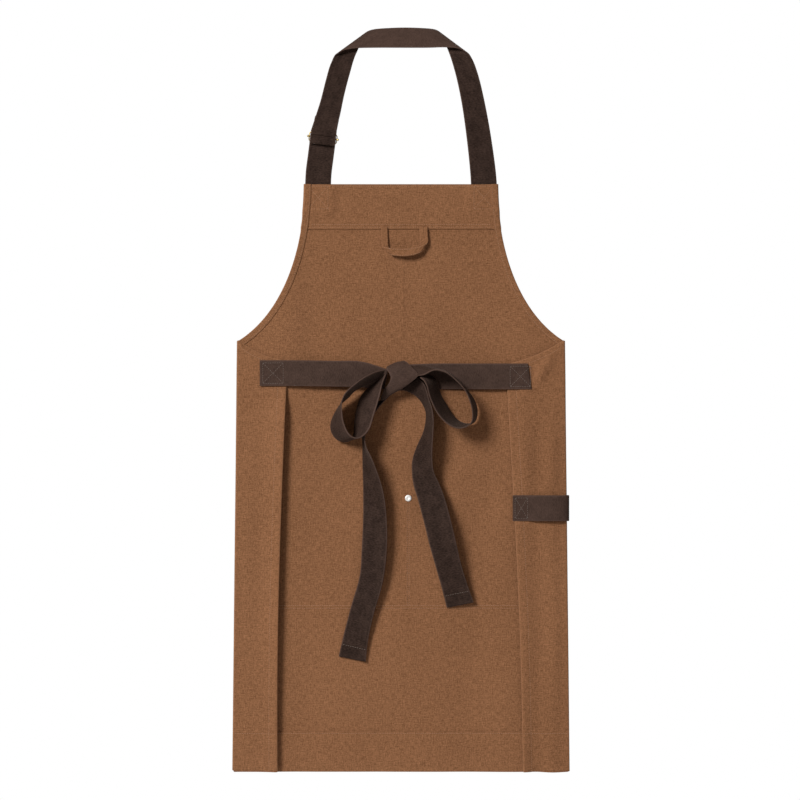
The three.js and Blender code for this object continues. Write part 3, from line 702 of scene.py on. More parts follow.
def wing_waves(name, wing, x, z, u):
    """Soft upright folds in a wing, none at its fold edge, and a slanting one at the right wing's top."""
    above_tie = z - TIE_LEVEL[name]
    tied = bump(above_tie, 24 * MM) * smooth_step((TIE_SEWN_X - np.abs(x)) / (14 * MM))
    loose = smooth_step(u / 0.25) * (1 - tied)
    wander = 6 * MM * field(x * 0, z, 1.0, 0.16, wing["seed"])
    swell = 0.6 + 0.8 * field(x * 0, z, 1.0, 0.22, wing["seed"] + 9)
    upright = 1 + np.cos(2 * math.pi * (np.abs(x) - WING_FOLD_X - wander) / WING_FOLD_PITCH)
    upright = wing["fold_height"] * upright * swell * smooth_step((-above_tie - 30 * MM) / (100 * MM))
    slanting = 0.0
    if name == "right":
        below_waist = WAIST - z
        loose = loose * (1 - 0.9 * bump(z - LOOP_Z, 26 * MM))
        slanting = bump((x - TIE_SEWN_X) * 0.8 + (below_waist - 45 * MM) * 0.6, 9 * MM)
        slanting = 4.5 * MM * slanting * bump(below_waist - 50 * MM, 30 * MM)
    return loose * (upright + slanting)


def wing_depth(name, wing, x, z):
    u = (fold_x(z) - np.abs(x)) / (fold_x(z) - wing_inner(wing, z))
    seam = bump(np.abs(x) - wing_inner(wing, z) - SIDE_HEM, 1.4 * MM) + bump(z - HEM - BOTTOM_HEM, 1.4 * MM)
    drawn = 0.22 * MM * seam * (u > 0.02)
    return WING_MID + ripple(x, z) + wing_lift(name, wing, u, z) + wing_waves(name, wing, x, z, u) - drawn


def wing_top_curve(wing, t):
    """x, from the fold inwards, and z along the wing's top edge."""
    start = numbers([fold_x(WAIST), WAIST])
    bend = numbers([fold_x(WAIST) + FOLD_OUT - wing["bow_in"], WAIST - BOW_DOWN])
    corner = WAIST - wing["drop"]
    end = numbers([wing_inner(wing, corner), corner])
    t = np.asarray(t)[:, None]
    return start * (1 - t) ** 2 + 2 * bend * t * (1 - t) + end * t * t


def wing_bottom(name, x):
    """The hem edge's small sway on the right, and its rounded outer corner on the left."""
    out = np.abs(x)
    if name == "right":
        return HEM + EDGE_INSET + 0.6 * MM * np.sin((out - 180 * MM) / (11 * MM))
    corner = smooth_step((out - fold_x(HEM) + 8 * MM) / (8 * MM))
    return HEM + EDGE_INSET + 0.4 * MM + 1.5 * MM * corner


def wing_sheet(name, wing):
    """One wing: the roll round the fold, then the flat part with its columns following the inner edge."""
    side = wing["side"]
    roll = np.radians(np.linspace(-90, 90, 11))[:-1]
    hem_line = 1 - (SIDE_HEM + numbers([-2.4, -1.2, 0, 1.2, 2.4]) * MM) / wing["top"]
    share = np.unique(np.concatenate([np.linspace(0, 1, 26), hem_line]))
    curve = wing_top_curve(wing, np.linspace(0, 1, 60))
    down = with_lines(spaced(WAIST, HEM, 4.5 * MM), [HEM + BOTTOM_HEM])[::-1]
    v = (WAIST - down) / (WAIST - HEM)
    place, uv = [], []
    z = WAIST + v * (wing_bottom(name, fold_x(HEM)) - WAIST)
    rippled = ripple(side * fold_x(z), z)
    for angle in roll:
        x = side * (fold_x(z) + FOLD_RADIUS * math.cos(angle))
        place.append(at_depth(x, FOLD_DEPTH + FOLD_RADIUS * math.sin(angle) + rippled, z))
        uv.append(np.stack([side * (fold_x(z) + FOLD_RADIUS * (math.pi / 2 - angle)), z], axis=1))
    for s in share:
        top_x = fold_x(WAIST) + s * (curve[-1, 0] - fold_x(WAIST))
        top = np.interp(-top_x, -curve[:, 0], curve[:, 1])
        z = top + v * (wing_bottom(name, top_x) - top)
        x = side * (fold_x(z) + s * (wing_inner(wing, z) - fold_x(z)))
        place.append(at_depth(x, wing_depth(name, wing, x, z), z))
        uv.append(np.stack([x, z], axis=1))
    grid, uv = np.stack(place, axis=1), np.stack(uv, axis=1)
    wear_and_highlight = np.zeros(grid.shape[:2])
    # The roll round the fold is marked paler: edge wear and a painted highlight where light catches the
    # fold.
    wear_and_highlight[:, : len(roll)] = 0.8 * np.cos(roll)
    if side < 0:
        grid, uv, wear_and_highlight = grid[:, ::-1], uv[:, ::-1], wear_and_highlight[:, ::-1]
    obj = shell(f"wing_{name}_cloth", grid, uv, CLOTH, CANVAS_CLOTH, wear_and_highlight)
    canvas_piece(obj, None, f"wing_panel_{name}")
    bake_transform(obj)


def wing_hems(name, wing):
    side, body, on = wing["side"], f"{name}_wing", f"wing_{name}_cloth"
    mirror = numbers([side, 1])

    def under(x, z):
        return wing_depth(name, wing, x, z)

    def over(x, z):
        return wing_depth(name, wing, x, z) - LAYER

    def sewn(line):
        x, z = (line * mirror).T
        stitch_on(body, x, z, under(x, z), 1)

    corner = WAIST - wing["drop"]
    z = spaced(corner - 1 * MM, HEM + EDGE_INSET, 5 * MM)
    edge = np.stack([wing_inner(wing, z), z], axis=1)
    inward = np.tile([1.0, 0.0], (len(z), 1))
    hem(f"wing_side_hem_{name}", body, on, edge * mirror, inward * mirror, SIDE_HEM, under, over)
    sewn(edge + inward * SIDE_HEM)

    edge = wing_top_curve(wing, np.linspace(0, 0.985, 50))
    tangent = unit(np.gradient(edge, axis=0))
    turned = smooth_step((fold_x(WAIST) - edge[:, :1]) / (30 * MM))
    across = np.stack([-tangent[:, 1], tangent[:, 0]], axis=1)
    down = unit(turned * across + (1 - turned) * numbers([0.0, -1.0]))
    hem(f"wing_top_hem_{name}", body, on, edge * mirror, down * mirror, ARMHOLE_HEM, under, over)
    sewn((edge + down * (ARMHOLE_HEM - SEAM_IN))[3:])

    x = spaced(wing_inner(wing, HEM) + 1 * MM, fold_x(HEM) - 1 * MM, 3 * MM)
    edge = np.stack([x, wing_bottom(name, x)], axis=1)
    up = np.tile([0.0, 1.0], (len(x), 1))
    hem(f"wing_bottom_hem_{name}", body, on, edge * mirror, up * mirror, BOTTOM_HEM, under, over)
    sewn(np.stack([x, np.full(len(x), HEM + BOTTOM_HEM - 1.5 * MM)], axis=1))


# ---- Pocket and rivet ----
POCKET_MIDDLE = middle("pocket_panel")[0]
POCKET_HALF = (POCKET_HIGH.x - POCKET_LOW.x) / 2
POCKET_BULGE = 11 * MM
POCKET_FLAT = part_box("body_panel")[1].y + 0.8 * MM  # y of the pocket cloth where it is sewn down


def pocket_depth(x, z):
    """Middle of the pocket's cloth: sewn down at its sides, foot and divider, slack towards its mouth."""
    across = np.abs(x - POCKET_MIDDLE)
    from_seam = np.minimum(POCKET_HALF - across, across - 5 * MM)
    open_share = smooth_step(np.clip(from_seam, 0, 26 * MM) / (26 * MM))
    up = np.clip((z - POCKET_LOW.z) / (POCKET_HIGH.z - POCKET_LOW.z - POCKET_HEM), 0, 1)
    slack = 0.4 * MM * field(x, z, 0.05, 0.05, 61.0) * open_share * up
    return ripple(x, z) - (POCKET_FLAT + POCKET_BULGE * open_share * up + slack)


def pocket():
    x = with_lines(spaced(POCKET_LOW.x, POCKET_HIGH.x, 4 * MM), [RIVET_X])
    z = spaced(POCKET_HIGH.z, POCKET_LOW.z, 4 * MM)
    x_grid, z_grid = np.meshgrid(x, z)
    grid = at_depth(x_grid, pocket_depth(x_grid, z_grid), z_grid)
    uv = np.stack([x_grid, z_grid + 2.0], axis=-1)
    obj = shell("pocket_cloth", grid, uv, CLOTH, CANVAS_CLOTH)
    canvas_piece(obj, "apron", "pocket_panel")
    edge = np.stack([x, np.full(len(x), POCKET_HIGH.z - EDGE_INSET)], axis=1)
    inward = np.tile([0.0, -1.0], (len(x), 1))
    hem("pocket_hem", "apron", "pocket_cloth", edge, inward, POCKET_HEM, pocket_depth,
        lambda x, z: pocket_depth(x, z) - LAYER, [POCKET_HEM - 2 * MM])
    z = np.full(len(x), POCKET_HIGH.z - POCKET_HEM + 2 * MM)
    stitch_on("apron", x, z, pocket_depth(x, z) - LAYER, -1)
    x = spaced(POCKET_LOW.x + 3 * MM, POCKET_HIGH.x - 3 * MM)
    for up in (2.5 * MM, 6.5 * MM):
        z = np.full(len(x), POCKET_LOW.z + up)
        sewn_through(x, z, plain_depth(x, z), pocket_depth(x, z))
    z = spaced(RIVET_Z - 8 * MM, POCKET_LOW.z + 6 * MM)
    for offset in (-1.5 * MM, 1.5 * MM):
        x = np.full(len(z), RIVET_X + offset)
        sewn_through(x, z, plain_depth(x, z), pocket_depth(x, z))
    z = spaced(POCKET_HIGH.z - 3 * MM, POCKET_LOW.z + 3 * MM)
    for side in (-1, 1):
        x = np.full(len(z), POCKET_MIDDLE + side * (POCKET_HALF - 2.5 * MM))
        stitch_on("apron", x, z, pocket_depth(x, z), -1)


def lathe(name, profile, centre, towards, material, sides=48):
    """A round piece on an axis along Y, from (radius, height) points that rise towards +1 or -1 Y."""
    profile = numbers(profile)
    angle = 2 * math.pi * np.arange(sides) / sides
    ring = np.stack([np.cos(angle), np.sin(angle)], axis=1)
    points = [np.stack([centre[0] + r * ring[:, 0], np.full(sides, centre[1] + towards * h),
                        centre[2] + r * ring[:, 1]], axis=1) for r, h in profile]
    faces = pipe_faces(len(profile), sides)
    return mesh_object(name, np.concatenate(points), faces if towards < 0 else faces[:, ::-1], material)


def rivets():
    cap = numbers([(0.05, 0.55), (0.6, 0.6), (1.4, 0.95), (2.4, 1.35), (3.4, 1.35), (4.3, 1.05), (4.85, 0.6),
                   (5, 0.25), (4.9, 0.0)]) * MM
    front = (RIVET_X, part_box("rivet_cap")[1].y - 1.5 * MM, RIVET_Z)
    back = (RIVET_X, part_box("rivet_back")[1].y, RIVET_Z)
    for name, at, towards in (("rivet_cap", front, 1), ("rivet_back", back, -1)):
        obj = lathe(f"{name}_metal", cap, at, towards, NICKEL)
        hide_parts(name)
        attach(obj, "apron")


# ---- Ribbons of webbing ----
def mid_line(pairs):
    """The middle of a ribbon whose rows hold its two edges, 3 columns each."""
    return (pairs[:, :3] + pairs[:, 3:]) / 2


def spline(points, per_point=24):
    """A smooth curve through a ribbon's rows, with knots spaced by distance."""
    gaps = np.maximum(np.linalg.norm(np.diff(mid_line(points), axis=0), axis=1), 1 * MM) ** 0.75
    knots = np.concatenate([[0], np.cumsum(gaps)])
    slopes = np.diff(points, axis=0) / gaps[:, None]
    tangents = np.empty_like(points)
    before, after = gaps[:-1, None], gaps[1:, None]
    tangents[1:-1] = (slopes[:-1] * after + slopes[1:] * before) / (before + after)
    tangents[0], tangents[-1] = slopes[0], slopes[-1]
    at = np.linspace(0, knots[-1], per_point * len(points))
    k = np.clip(np.searchsorted(knots, at, side="right") - 1, 0, len(gaps) - 1)
    h = gaps[k][:, None]
    t = ((at - knots[k]) / gaps[k])[:, None]
    return ((2 * t ** 3 - 3 * t ** 2 + 1) * points[k] + (t ** 3 - 2 * t ** 2 + t) * h * tangents[k]
            + (3 * t ** 2 - 2 * t ** 3) * points[k + 1] + (t ** 3 - t ** 2) * h * tangents[k + 1])


def evenly(curve, step):
    """The same curve with rows an even distance apart along its middle, and each row's distance."""
    run = np.concatenate([[0], np.cumsum(np.linalg.norm(np.diff(mid_line(curve), axis=0), axis=1))])
    at = np.linspace(0, run[-1], max(4, int(run[-1] / step)))
    return np.stack([np.interp(at, run, column) for column in curve.T], axis=1), at


def softened(curve, passes):
    for _ in range(passes):
        curve[1:-1] = (curve[:-2] + 2 * curve[1:-1] + curve[2:]) / 4
    return curve


ACROSS = numbers([0, 0.03, 0.08, 0.18, 0.31, 0.44, 0.56, 0.69, 0.82, 0.92, 0.97, 1])
HALF_WEB = WEBBING_WIDTH / MM / 2


def from_depth(points):
    """Points given as (x, depth, z) in millimetres, in metres in the frame."""
    x, depth, z = numbers(points).T
    return np.stack([x, -depth, z], axis=1) * MM


def ribbon_grid(near, far, passes, camber, step):
    edges = np.concatenate([from_depth(near), from_depth(far)], axis=1)
    curve, run = evenly(spline(edges), step)
    curve = softened(curve, passes)
    a, b = curve[:, :3], curve[:, 3:]
    grid = a[:, None] + (b - a)[:, None] * ACROSS[None, :, None]
    arch = 1 - (2 * ACROSS - 1) ** 2
    return grid + grid_normals(grid) * (arch * camber)[None, :, None], run


def ribbon(name, near, far, body, nodes, passes=6, camber=0.0, width=WEBBING_WIDTH, held="gathered",
           rests_on=(), thickness=WEBBING, material=STRAP, step=2 * MM, shown=1.0, painted_light=None):
    """A length of webbing or cloth strip between two edges, each given as (x, depth, z) in millimetres."""
    grid, run = ribbon_grid(near, far, passes, camber, step)
    uv = np.stack(np.broadcast_arrays(ACROSS[None, :] * width, run[:, None]), axis=-1)
    obj = shell(name, grid, uv, thickness, material, painted_light(grid) if painted_light else None)
    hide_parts(*nodes)
    list(rests_on)
    if body:
        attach(obj, body)
    return obj, grid, run


def painted_light_across(grid):
    """Webbing that lies across the back is painted paler than the hanging lengths, as painted light: lengths
    lying across catch the light more brightly.
    """
    return np.full(grid.shape[:2], 0.75)


def painted_selvage_highlight(grid):
    """The loops are painted a little paler all over and much paler along their raised selvage, as a painted
    highlight where light catches them.
    """
    return np.broadcast_to(0.25 + 0.75 * (ACROSS < 0.05), grid.shape[:2])


# Painted light: the neck band, which lies across at the top, is painted paler than the hanging strap below
# it.
def painted_light_on_neck_band(grid):
    return smooth_step((grid[..., 2] + 10 * MM) / (6 * MM))


def stitch_across(body, grid, distance_from_end, run, face):
    """A row of stitches across a ribbon near its end."""
    row = int(np.searchsorted(run, run[-1] - distance_from_end))
    normal = grid_normals(grid)[row] * face
    line = grid[row] + normal * WEBBING / 2
    add_stitches(body, "webbing", line[1:-1], normal[1:-1])


BOW_LOOPS = {
    "left": {
        "near": [(-25, 19, -491), (-37, 30, -493), (-52, 39, -500), (-63, 42, -507), (-73, 42, -515),
                 (-84, 42, -525), (-90, 41, -540), (-89, 39, -553), (-88, 37, -565), (-85, 36, -575),
                 (-79, 37, -587), (-68, 38, -594), (-58, 37, -591), (-48, 33, -580), (-43, 31, -564),
                 (-37, 30, -545), (-32, 31, -528), (-29, 29, -513), (-23, 19, -497)],
        "far": [(-27, 9, -497), (-42, 9, -508), (-58, 9, -515), (-71, 8, -522), (-79, 7, -531),
                (-87, 5, -538), (-94, 4, -545), (-102, 4, -559), (-107, 4, -572), (-106, 4, -584),
                (-96, 3, -597), (-78, 2, -599), (-71, 2, -586), (-71, 3, -574), (-69, 4, -559),
                (-66, 6, -544), (-60, 6, -529), (-50, 8, -518), (-33, 9, -507)],
    },
    "right": {
        "near": [(24, 21, -499), (35, 32, -498), (45, 41, -492), (53, 45, -490), (68, 46, -494),
                 (83, 46, -506), (96, 45, -520), (104, 42, -537), (108, 39, -554), (106, 38, -571),
                 (87, 38, -579), (69, 37, -571), (55, 37, -556), (47, 37, -540), (42, 37, -527),
                 (40, 36, -517), (35, 31, -506), (29, 24, -502)],
        "far": [(14, 9, -485), (26, 9, -483), (40, 9, -485), (53, 9, -488), (68, 9, -492), (84, 9, -503),
                (99, 8, -519), (112, 6, -537), (116, 4, -554), (111, 3, -571), (91, 3, -570),
                (79, 3, -559), (71, 4, -546), (63, 4, -533), (59, 5, -524), (56, 8, -511), (52, 9, -502),
                (43, 9, -497)],
    },
}
TAILS = {
    "left": {
        "far": [(-29, 3, -534), (-46, 2, -548), (-62, 1, -568), (-58, 1, -598), (-58, 1, -627),
                (-57, 1, -671), (-57, 1, -717), (-59, 3, -761), (-62, 3, -803), (-75, 2, -849),
                (-87, 1, -895), (-94, 1, -925)],
        "near": [(-14, 7, -525), (-30, 13, -542), (-47, 20, -565), (-55, 30, -598), (-43, 31, -627),
                 (-28, 23, -671), (-22, 16, -717), (-22, 14, -765), (-28, 11, -812), (-42, 8, -861),
                 (-51, 4, -904), (-54, 2, -933)],
    },
    "right": {
        "far": [(2, 6, -520), (18, 5, -526), (30, 3, -537), (38, 1, -553), (38, 1, -568), (34, 1, -586),
                (25, 1, -605), (18, 1, -625), (17, 3, -642), (19, 6, -662), (27, 10, -689),
                (36, 12, -723), (44, 12, -756), (54, 9, -791), (63, 4, -823), (70, 1, -851)],
        "near": [(25, 9, -502), (36, 13, -513), (41, 22, -531), (47, 29, -549), (49, 32, -568),
                 (48, 33, -589), (47, 30, -609), (47, 25, -625), (49, 20, -644), (56, 13, -659),
                 (65, 15, -682), (74, 20, -714), (82, 20, -747), (90, 14, -782), (100, 7, -815),
                 (110, 3, -843)],
    },
}
KNOT_WRAP = {
    "near": [(-18, 6, -484), (-22, 13, -487), (-18, 18, -494), (-15, 20, -502), (-18, 20, -511),
             (-24, 18, -518), (-28, 15, -527), (-31, 11, -535)],
    "far": [(5, 6, -477), (9.5, 14, -479.5), (17, 20, -487.5), (26, 23, -498), (17, 23, -507),
            (5, 21, -516), (-11, 16, -525), (-28, 11, -536)],
}


def bow():
    for name, loop in BOW_LOOPS.items():
        ribbon(f"bow_loop_{name}_webbing", loop["near"], loop["far"], "waist_tie", [f"bow_loop_{name}"],
               passes=10, rests_on=["knot_wrap_webbing"], painted_light=painted_selvage_highlight)
    for name, tail in TAILS.items():
        obj, grid, run = ribbon(f"tie_tail_{name}_webbing", tail["near"], tail["far"], None,
                                [f"tail_upper_{name}", f"tail_lower_{name}"], passes=10, camber=0.6 * MM,
                                rests_on=["knot_wrap_webbing", "canvas_body"])
        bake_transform(obj)
        for face in (-1, 1):
            stitch_across(f"{name}_tail", grid, 19 * MM, run, face)
    ribbon("knot_wrap_webbing", KNOT_WRAP["near"], KNOT_WRAP["far"], "waist_tie", ["knot_wrap"], passes=1,
           camber=1.5 * MM, rests_on=["knot_core_webbing"], shown=0.72, painted_light=painted_light_across)


def knot_core():
    """The pleated bulk of the knot inside its wrap."""
    low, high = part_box("knot_core")
    centre, half = numbers((low + high) / 2), (high - low) / 2 * 0.9
    rows, sides = 20, 32
    polar = np.linspace(0.03, math.pi - 0.03, rows)[:, None]
    turn = 2 * math.pi * np.arange(sides)[None, :] / sides
    pleat = 1 + 0.06 * np.sin(5 * polar + 2 * np.cos(turn))
    shape = np.stack([np.sin(polar) * np.cos(turn) * half.x, np.sin(polar) * np.sin(turn) * half.y,
                      np.cos(polar) * half.z * np.ones_like(turn)], axis=-1) * pleat[..., None]
    points = (shape + centre).reshape(-1, 3)
    obj = mesh_object("knot_core_webbing", points, pipe_faces(rows, sides)[:, ::-1], STRAP, points[:, ::2])
    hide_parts("knot_core")
    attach(obj, "waist_tie")


def waist_tie(name, route, ends, nodes):
    """One waist tie along a level route, with its two slanted end points."""
    edges = [[(x, depth, z + up) for x, depth, z in route] for up in (HALF_WEB, -HALF_WEB)]
    for edge, end in zip(edges, ends):
        edge[-1] = end
    obj, _, _ = ribbon(f"waist_tie_{name}_webbing", *edges, None, nodes, rests_on=[f"wing_{name}_cloth"],
                       held="stretched", painted_light=painted_light_across)
    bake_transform(obj)


def waist_ties():
    level = TIE_LEVEL["left"] / MM
    outer, inner = (corner.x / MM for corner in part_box("tie_end_left"))
    depth = TIE_MID / MM + 0.9
    route = [(outer, depth, level), ((outer + inner) / 2, depth, level), (inner, depth + 0.2, level),
             (-140, 5.5, level - 0.3), (-100, 5.8, level - 1), (-60, 6.2, level - 2), (-25, 6.5, level - 4)]
    waist_tie("left", route, [(-20, 7.0, -490), (-26, 6.5, -519)], ["tie_end_left", "tie_strand_left"])
    sewn_box("left_wing", (outer + inner) / 2 * MM, level * MM, TIE_BOX, TIE_BOX, depth * MM, 1)
    level = TIE_LEVEL["right"] / MM
    inner, outer = (corner.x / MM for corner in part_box("tie_end_right"))
    depth = TIE_MID / MM + 0.5
    route = [(-10, 0.6, level - 2), (20, 0.6, level - 1), (50, 1.6, level), (100, 3.6, level),
             (inner, depth, level), ((outer + inner) / 2, depth, level), (outer, depth, level)]
    ends = [(outer - 8.5, depth, level + HALF_WEB), (outer - 3, depth, level - HALF_WEB)]
    waist_tie("right", route, ends, ["tie_end_right", "tie_strand_right"])
    sewn_box("right_wing", (outer + inner) / 2 * MM, level * MM, TIE_BOX, TIE_BOX, depth * MM, 1)


# ---- Neck strap: one ribbon folded at both corners of the band, its anchor, slide and free end ----
SLIDE_TILT = math.radians(7.3)
SLIDE = joint_named("slide_tilt")["pos_m"]


def in_slide(across, depth, up):
    """A point in the slide's own frame, in millimetres: across the webbing, depth, and up along it."""
    x = SLIDE[0] / MM + across * math.cos(SLIDE_TILT) + up * math.sin(SLIDE_TILT)
    z = SLIDE[2] / MM - across * math.sin(SLIDE_TILT) + up * math.cos(SLIDE_TILT)
    return (x, depth, z)


def neck_strap():
    sewn = STRAP_END_LOW / MM
    outer = [(145, 0, sewn), (145, 0, -225), (145, 0, -208), (138, 0, -147), (126, 0, -80), (118, 0, -46),
             (112, 0, -27), (109, -1.5, -19.5), (106, -2, -14), (102, -1, -9), (96, 1.2, -5),
             (88, 1.8, -1.4), (70, 1.5, 0.5), (40, 0.8, 0), (0, 0.8, 0), (-40, 0.8, 0), (-70, 1.5, -1),
             (-87, 1.8, -4), (-94, 1.2, -7.6), (-98.6, -1, -10.5), (-102, -2, -14.5), (-104.4, -1.5, -20),
             (-107.6, 0, -28), (-113, 0, -47), (-122, 0, -82)]
    inner = [(107, 0, sewn), (107, 0, -225), (107, 0, -208), (101, 0, -142), (91, 0, -74), (83, -2, -38),
             (76, -6, -14), (71, -11, 0), (65, -18, 16), (59, -23, 26), (53, -24.5, 29.6),
             (46, -24.5, 31), (36, -24, 31.8), (20, -24, 32.6), (2, -24, 32.8), (-16, -24, 32.2),
             (-32, -24, 31.2), (-42, -24.5, 30), (-49, -24.5, 28), (-55, -23, 24), (-61, -17, 12),
             (-66, -11, -2), (-71, -6, -14), (-78, -2, -38), (-87, 0, -73)]
    outer += [(-131, 0, -110), (-134.5, 1.6, -121)]
    inner += [(-94, 0, -106), (-97.4, 1.6, -119)]
    for depth, up in ((4.6, 8), (5.6, 3.5)):
        outer.append(in_slide(-HALF_WEB, depth, up))
        inner.append(in_slide(HALF_WEB, depth, up))
    obj, _, _ = ribbon("neck_strap_webbing", outer, inner, None, ["neck_strap", "strap_end_right"],
                       passes=2, held="hung", step=1.5 * MM, painted_light=painted_light_on_neck_band)
    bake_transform(obj)
    radius = 2.9  # of the turn round the slide's bar, at the webbing's middle
    rise = [(0, -52), (0, -30), (0, -12), (0, 0)]
    turn = [math.radians(a) for a in (150, 120, 90, 60, 30)]
    over = [(radius + radius * math.cos(a), radius * math.sin(a)) for a in turn]
    flap = [(2 * radius, 0), (2 * radius + 0.3, -6), (2 * radius + 0.2, -10)]
    route = rise + over + flap
    first, second = ([(x, 0, z) for z in (sewn, -225, -208)] + [in_slide(across, *place) for place in route]
                     for x, across in ((-145, -HALF_WEB), (-107, HALF_WEB)))
    obj, _, _ = ribbon("strap_anchor_webbing", first, second, None, ["strap_anchor", "strap_end_left"],
                       passes=1, held="hung", step=1.2 * MM)
    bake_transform(obj)
    depth, half = -2.5, 17.8
    ends = [(2.0, 32), (1.0, 18), (0, 4), (0, -15), (0, -40)]
    edges = [[in_slide(lean + across, depth, up) for lean, up in ends] for across in (-half, half)]
    ribbon("strap_free_end_webbing", *edges, "strap_free_end", ["strap_tail"], held="hung")


def wire_ring(name, path, radius, material, sides=14):
    """A round wire along a closed path of points."""
    ahead = unit(np.roll(path, -1, axis=0) - np.roll(path, 1, axis=0))
    up = numbers([0.0, 1.0, 0.0])
    side = unit(np.cross(ahead, up))
    angle = 2 * math.pi * np.arange(sides) / sides
    points = (path[:, None] + radius * (np.cos(angle)[None, :, None] * side[:, None]
                                        + np.sin(angle)[None, :, None] * up[None, None]))
    return mesh_object(name, points.reshape(-1, 3), pipe_faces(len(path), sides, closed=True), material)


def slide_buckle():
    half_width, half_height, corner, wire, depth = 21, 6.8, 3.0, 0.8, 2.8
    path = []
    for cx, cz, start in ((1, 1, 0), (-1, 1, 90), (-1, -1, 180), (1, -1, 270)):
        for angle in np.radians(start + np.linspace(0, 90, 8)):
            path.append(in_slide(cx * (half_width - corner) + corner * math.cos(angle), depth,
                                 cz * (half_height - corner) + corner * math.sin(angle)))
    ring = wire_ring("slide_frame_brass", from_depth(path), wire * MM, BRASS)
    profile = [(0.05, -24.4), (1.0, -24.1), (1.6, -23.4), (1.8, -22.6), (1.6, -21.8), (1.2, -21.1),
               (1.0, -20.4)]
    profile = profile + [(r, -along) for r, along in reversed(profile)]
    sides = 20
    turn = [2 * math.pi * k / sides for k in range(sides)]
    points = [in_slide(along, depth + r * math.cos(angle), r * math.sin(angle))
              for r, along in profile for angle in turn]
    bar = mesh_object("slide_bar_brass", from_depth(points), pipe_faces(len(profile), sides), BRASS)
    for obj, node in ((ring, "slide_frame"), (bar, "slide_bar")):
        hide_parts(node)
        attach(obj, "slide")


# ---- Hang loop and side loop ----
def hang_loop():
    drop = (FACING_LOW - 0.3 * MM) / MM
    outer = [(-29.5, 0.6, 3), (-29.3, 0.8, -3), (-29, 1.6, -14), (-28.5, 2.2, -23), (-27.6, 3.6, -26.6),
             (-25, 5.6, -27.2), (-16.7, 6.6, -29), (-6, 7.2, -30.2), (6, 7.2, -30.2), (16.7, 7, -29.2),
             (27.4, 6.8, -26.8), (35, 6.4, -24), (39, 5.4, -21.4), (41, 3.6, -19), (40.6, 3, -13),
             (40, 1.6, -3), (40, 0.6, 3)]
    inner = [(-21, 0.6, 3), (-20.8, 0.8, -3), (-20.4, 1.6, -14), (-18.5, 2.2, -30), (-15.4, 3.6, -38.4),
             (-12.6, 5.6, -39.6), (-8, 6.8, -40.3), (-2, 8, -40.8), (6, 8.4, -41), (14, 8.4, -40.3),
             (22, 8, -38.6), (27.5, 7, -36.4), (31.2, 5.6, -33.8), (31.4, 3.6, -30), (30, 3, -22),
             (29, 1.6, -3), (28.8, 0.6, 3)]
    outer = [(x, depth, z + drop) for x, depth, z in outer]
    inner = [(x, depth, z + drop) for x, depth, z in inner]
    _, grid, _ = ribbon("hang_loop_cloth", outer, inner, "hang_loop", ["hang_loop"], passes=2,
                        width=10 * MM, held="gathered", rests_on=["bib_facing_cloth"], thickness=1.7 * MM,
                        material=CANVAS_CLOTH, step=1.5 * MM)
    normal = grid_normals(grid)
    normal = normal * (-1 if normal[len(grid) // 2, 5, 1] > 0 else 1)
    for column in (2, 9):
        up = normal[4:-4, column]
        add_stitches("hang_loop", "canvas", grid[4:-4, column] + up * 0.9 * MM, up)


def side_loop():
    """Webbing from the right wing round the fold to the front, standing a little off the fold."""
    back_edge = LOOP_BACK[0].x / MM + 0.5
    front_edge = LOOP_FRONT[0].x / MM
    fold, centre, reach = fold_x(LOOP_Z) / MM, FOLD_DEPTH / MM, 5.6
    back = TIE_MID / MM + 1.1
    front = -LOOP_FRONT[1].y / MM + 0.8
    route = [(back_edge, back), (back_edge + 12, back), (back_edge + 24, back), (back_edge + 32, 6.8),
             ((back_edge + 24 + fold) / 2, 9.5), (fold - 9, 9.2)]
    turn = [math.radians(a) for a in (55, 25, -5, -35, -60)]
    route += [(fold + reach * math.cos(a), centre + reach * math.sin(a)) for a in turn]
    route += [(fold - 6, front - 0.4), (front_edge + 24, front + 1.0), (front_edge + 12, front + 1.2),
              (front_edge, front + 1.2)]
    edges = [[(x, depth, LOOP_Z / MM + up) for x, depth in route] for up in (HALF_WEB, -HALF_WEB)]
    obj, _, _ = ribbon("side_loop_webbing", *edges, None, ["side_loop_back", "side_loop_front"], passes=4,
                       rests_on=["wing_right_cloth"], step=1.5 * MM, painted_light=painted_light_across)
    at = fold_x(LOOP_Z)
    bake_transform(obj)
    sewn_box("right_wing", (back_edge + 12.5) * MM, LOOP_Z, 19 * MM, 31 * MM, back * MM, 1)
    sewn_box("apron", (front_edge + 12) * MM, LOOP_Z, 18 * MM, 31 * MM, (front + 1.2) * MM, -1)


# ---- Camera, floor and light ----
VIEW_WIDTH = 1.216  # what the camera sees across, in metres, at the cloth
CAMERA_X, CAMERA_Z = -1.5 * MM, -0.5358
AMBIENT = 0.14
FLOOR_RADIUS = 1.75
FLOOR_DROP = 0.30  # from the hem down to the floor
LENS = 135.0
SENSOR = 36.0


def camera():
    data = bpy.data.cameras.new("camera")
    data.lens, data.sensor_width = LENS, SENSOR
    cam = bpy.data.objects.new("camera", data)
    bpy.context.scene.collection.objects.link(cam)
    cam.location = (CAMERA_X, -VIEW_WIDTH * LENS / SENSOR, CAMERA_Z)
    cam.rotation_euler = (math.radians(90), 0, 0)
    bpy.context.scene.camera = cam


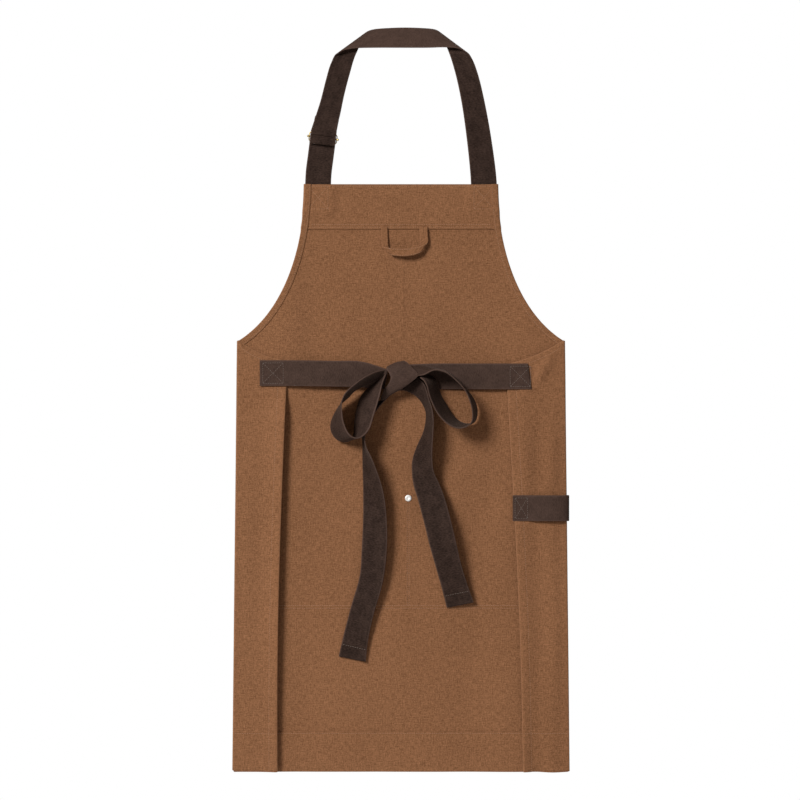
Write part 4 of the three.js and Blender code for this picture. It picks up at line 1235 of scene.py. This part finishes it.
def area_light(name, place, aim, size, power, tint):
    data = bpy.data.lights.new(name, "AREA")
    data.size, data.energy, data.color = size, power, tint
    light = bpy.data.objects.new(name, data)
    bpy.context.scene.collection.objects.link(light)
    light.location = place
    light.rotation_euler = (Vector(aim) - Vector(place)).to_track_quat("-Z", "Y").to_euler()


def studio():
    scene = bpy.context.scene
    scene.view_settings.view_transform = "Standard"
    centre = (0, 0, (TOP + HEM) / 2)
    area_light("key", (-2.9, -3.9, 1.9), centre, 1.7, 300, (1.0, 1.0, 0.995))
    area_light("fill", (2.4, -2.6, -0.2), centre, 2.0, 5, (1.0, 1.0, 1.0))
    area_light("back", (1.2, 2.8, 0.8), centre, 1.6, 60, (1.0, 1.0, 1.0))
    world = bpy.data.worlds.new("studio")
    world.use_nodes = True
    nodes, links = world.node_tree.nodes, world.node_tree.links
    soft, seen = nodes["Background"], nodes.new("ShaderNodeBackground")
    warm, white = colour(1.0, 0.86, 0.76), colour(1, 1, 1)
    for background, tint, strength in ((soft, warm, AMBIENT), (seen, white, 1.0)):
        background.inputs["Color"].default_value = tint
        background.inputs["Strength"].default_value = strength
    choice = nodes.new("ShaderNodeMixShader")
    links.new(nodes.new("ShaderNodeLightPath").outputs["Is Camera Ray"], choice.inputs[0])
    links.new(soft.outputs[0], choice.inputs[1])
    links.new(seen.outputs[0], choice.inputs[2])
    links.new(choice.outputs[0], nodes["World Output"].inputs["Surface"])
    scene.world = world
    material = Graph("floor").finish(base_color=colour(0.85, 0.85, 0.85), roughness=0.8)
    sides = 96
    turn = 2 * math.pi * np.arange(sides) / sides
    ring = np.stack([FLOOR_RADIUS * np.cos(turn), FLOOR_RADIUS * np.sin(turn),
                     np.full(sides, HEM - FLOOR_DROP)], axis=1)
    mesh_object("floor", ring, np.arange(sides)[None], material)


camera()
body_panel()
armhole_hems()
bottom_hem()
facing()
strap_boxes()
for wing_name, wing_sizes in WINGS.items():
    wing_sheet(wing_name, wing_sizes)
    wing_hems(wing_name, wing_sizes)
pocket()
rivets()
neck_strap()
slide_buckle()
hang_loop()
waist_ties()
bow()
knot_core()
side_loop()
make_stitches()
studio()

bpy.context.view_layer.update()
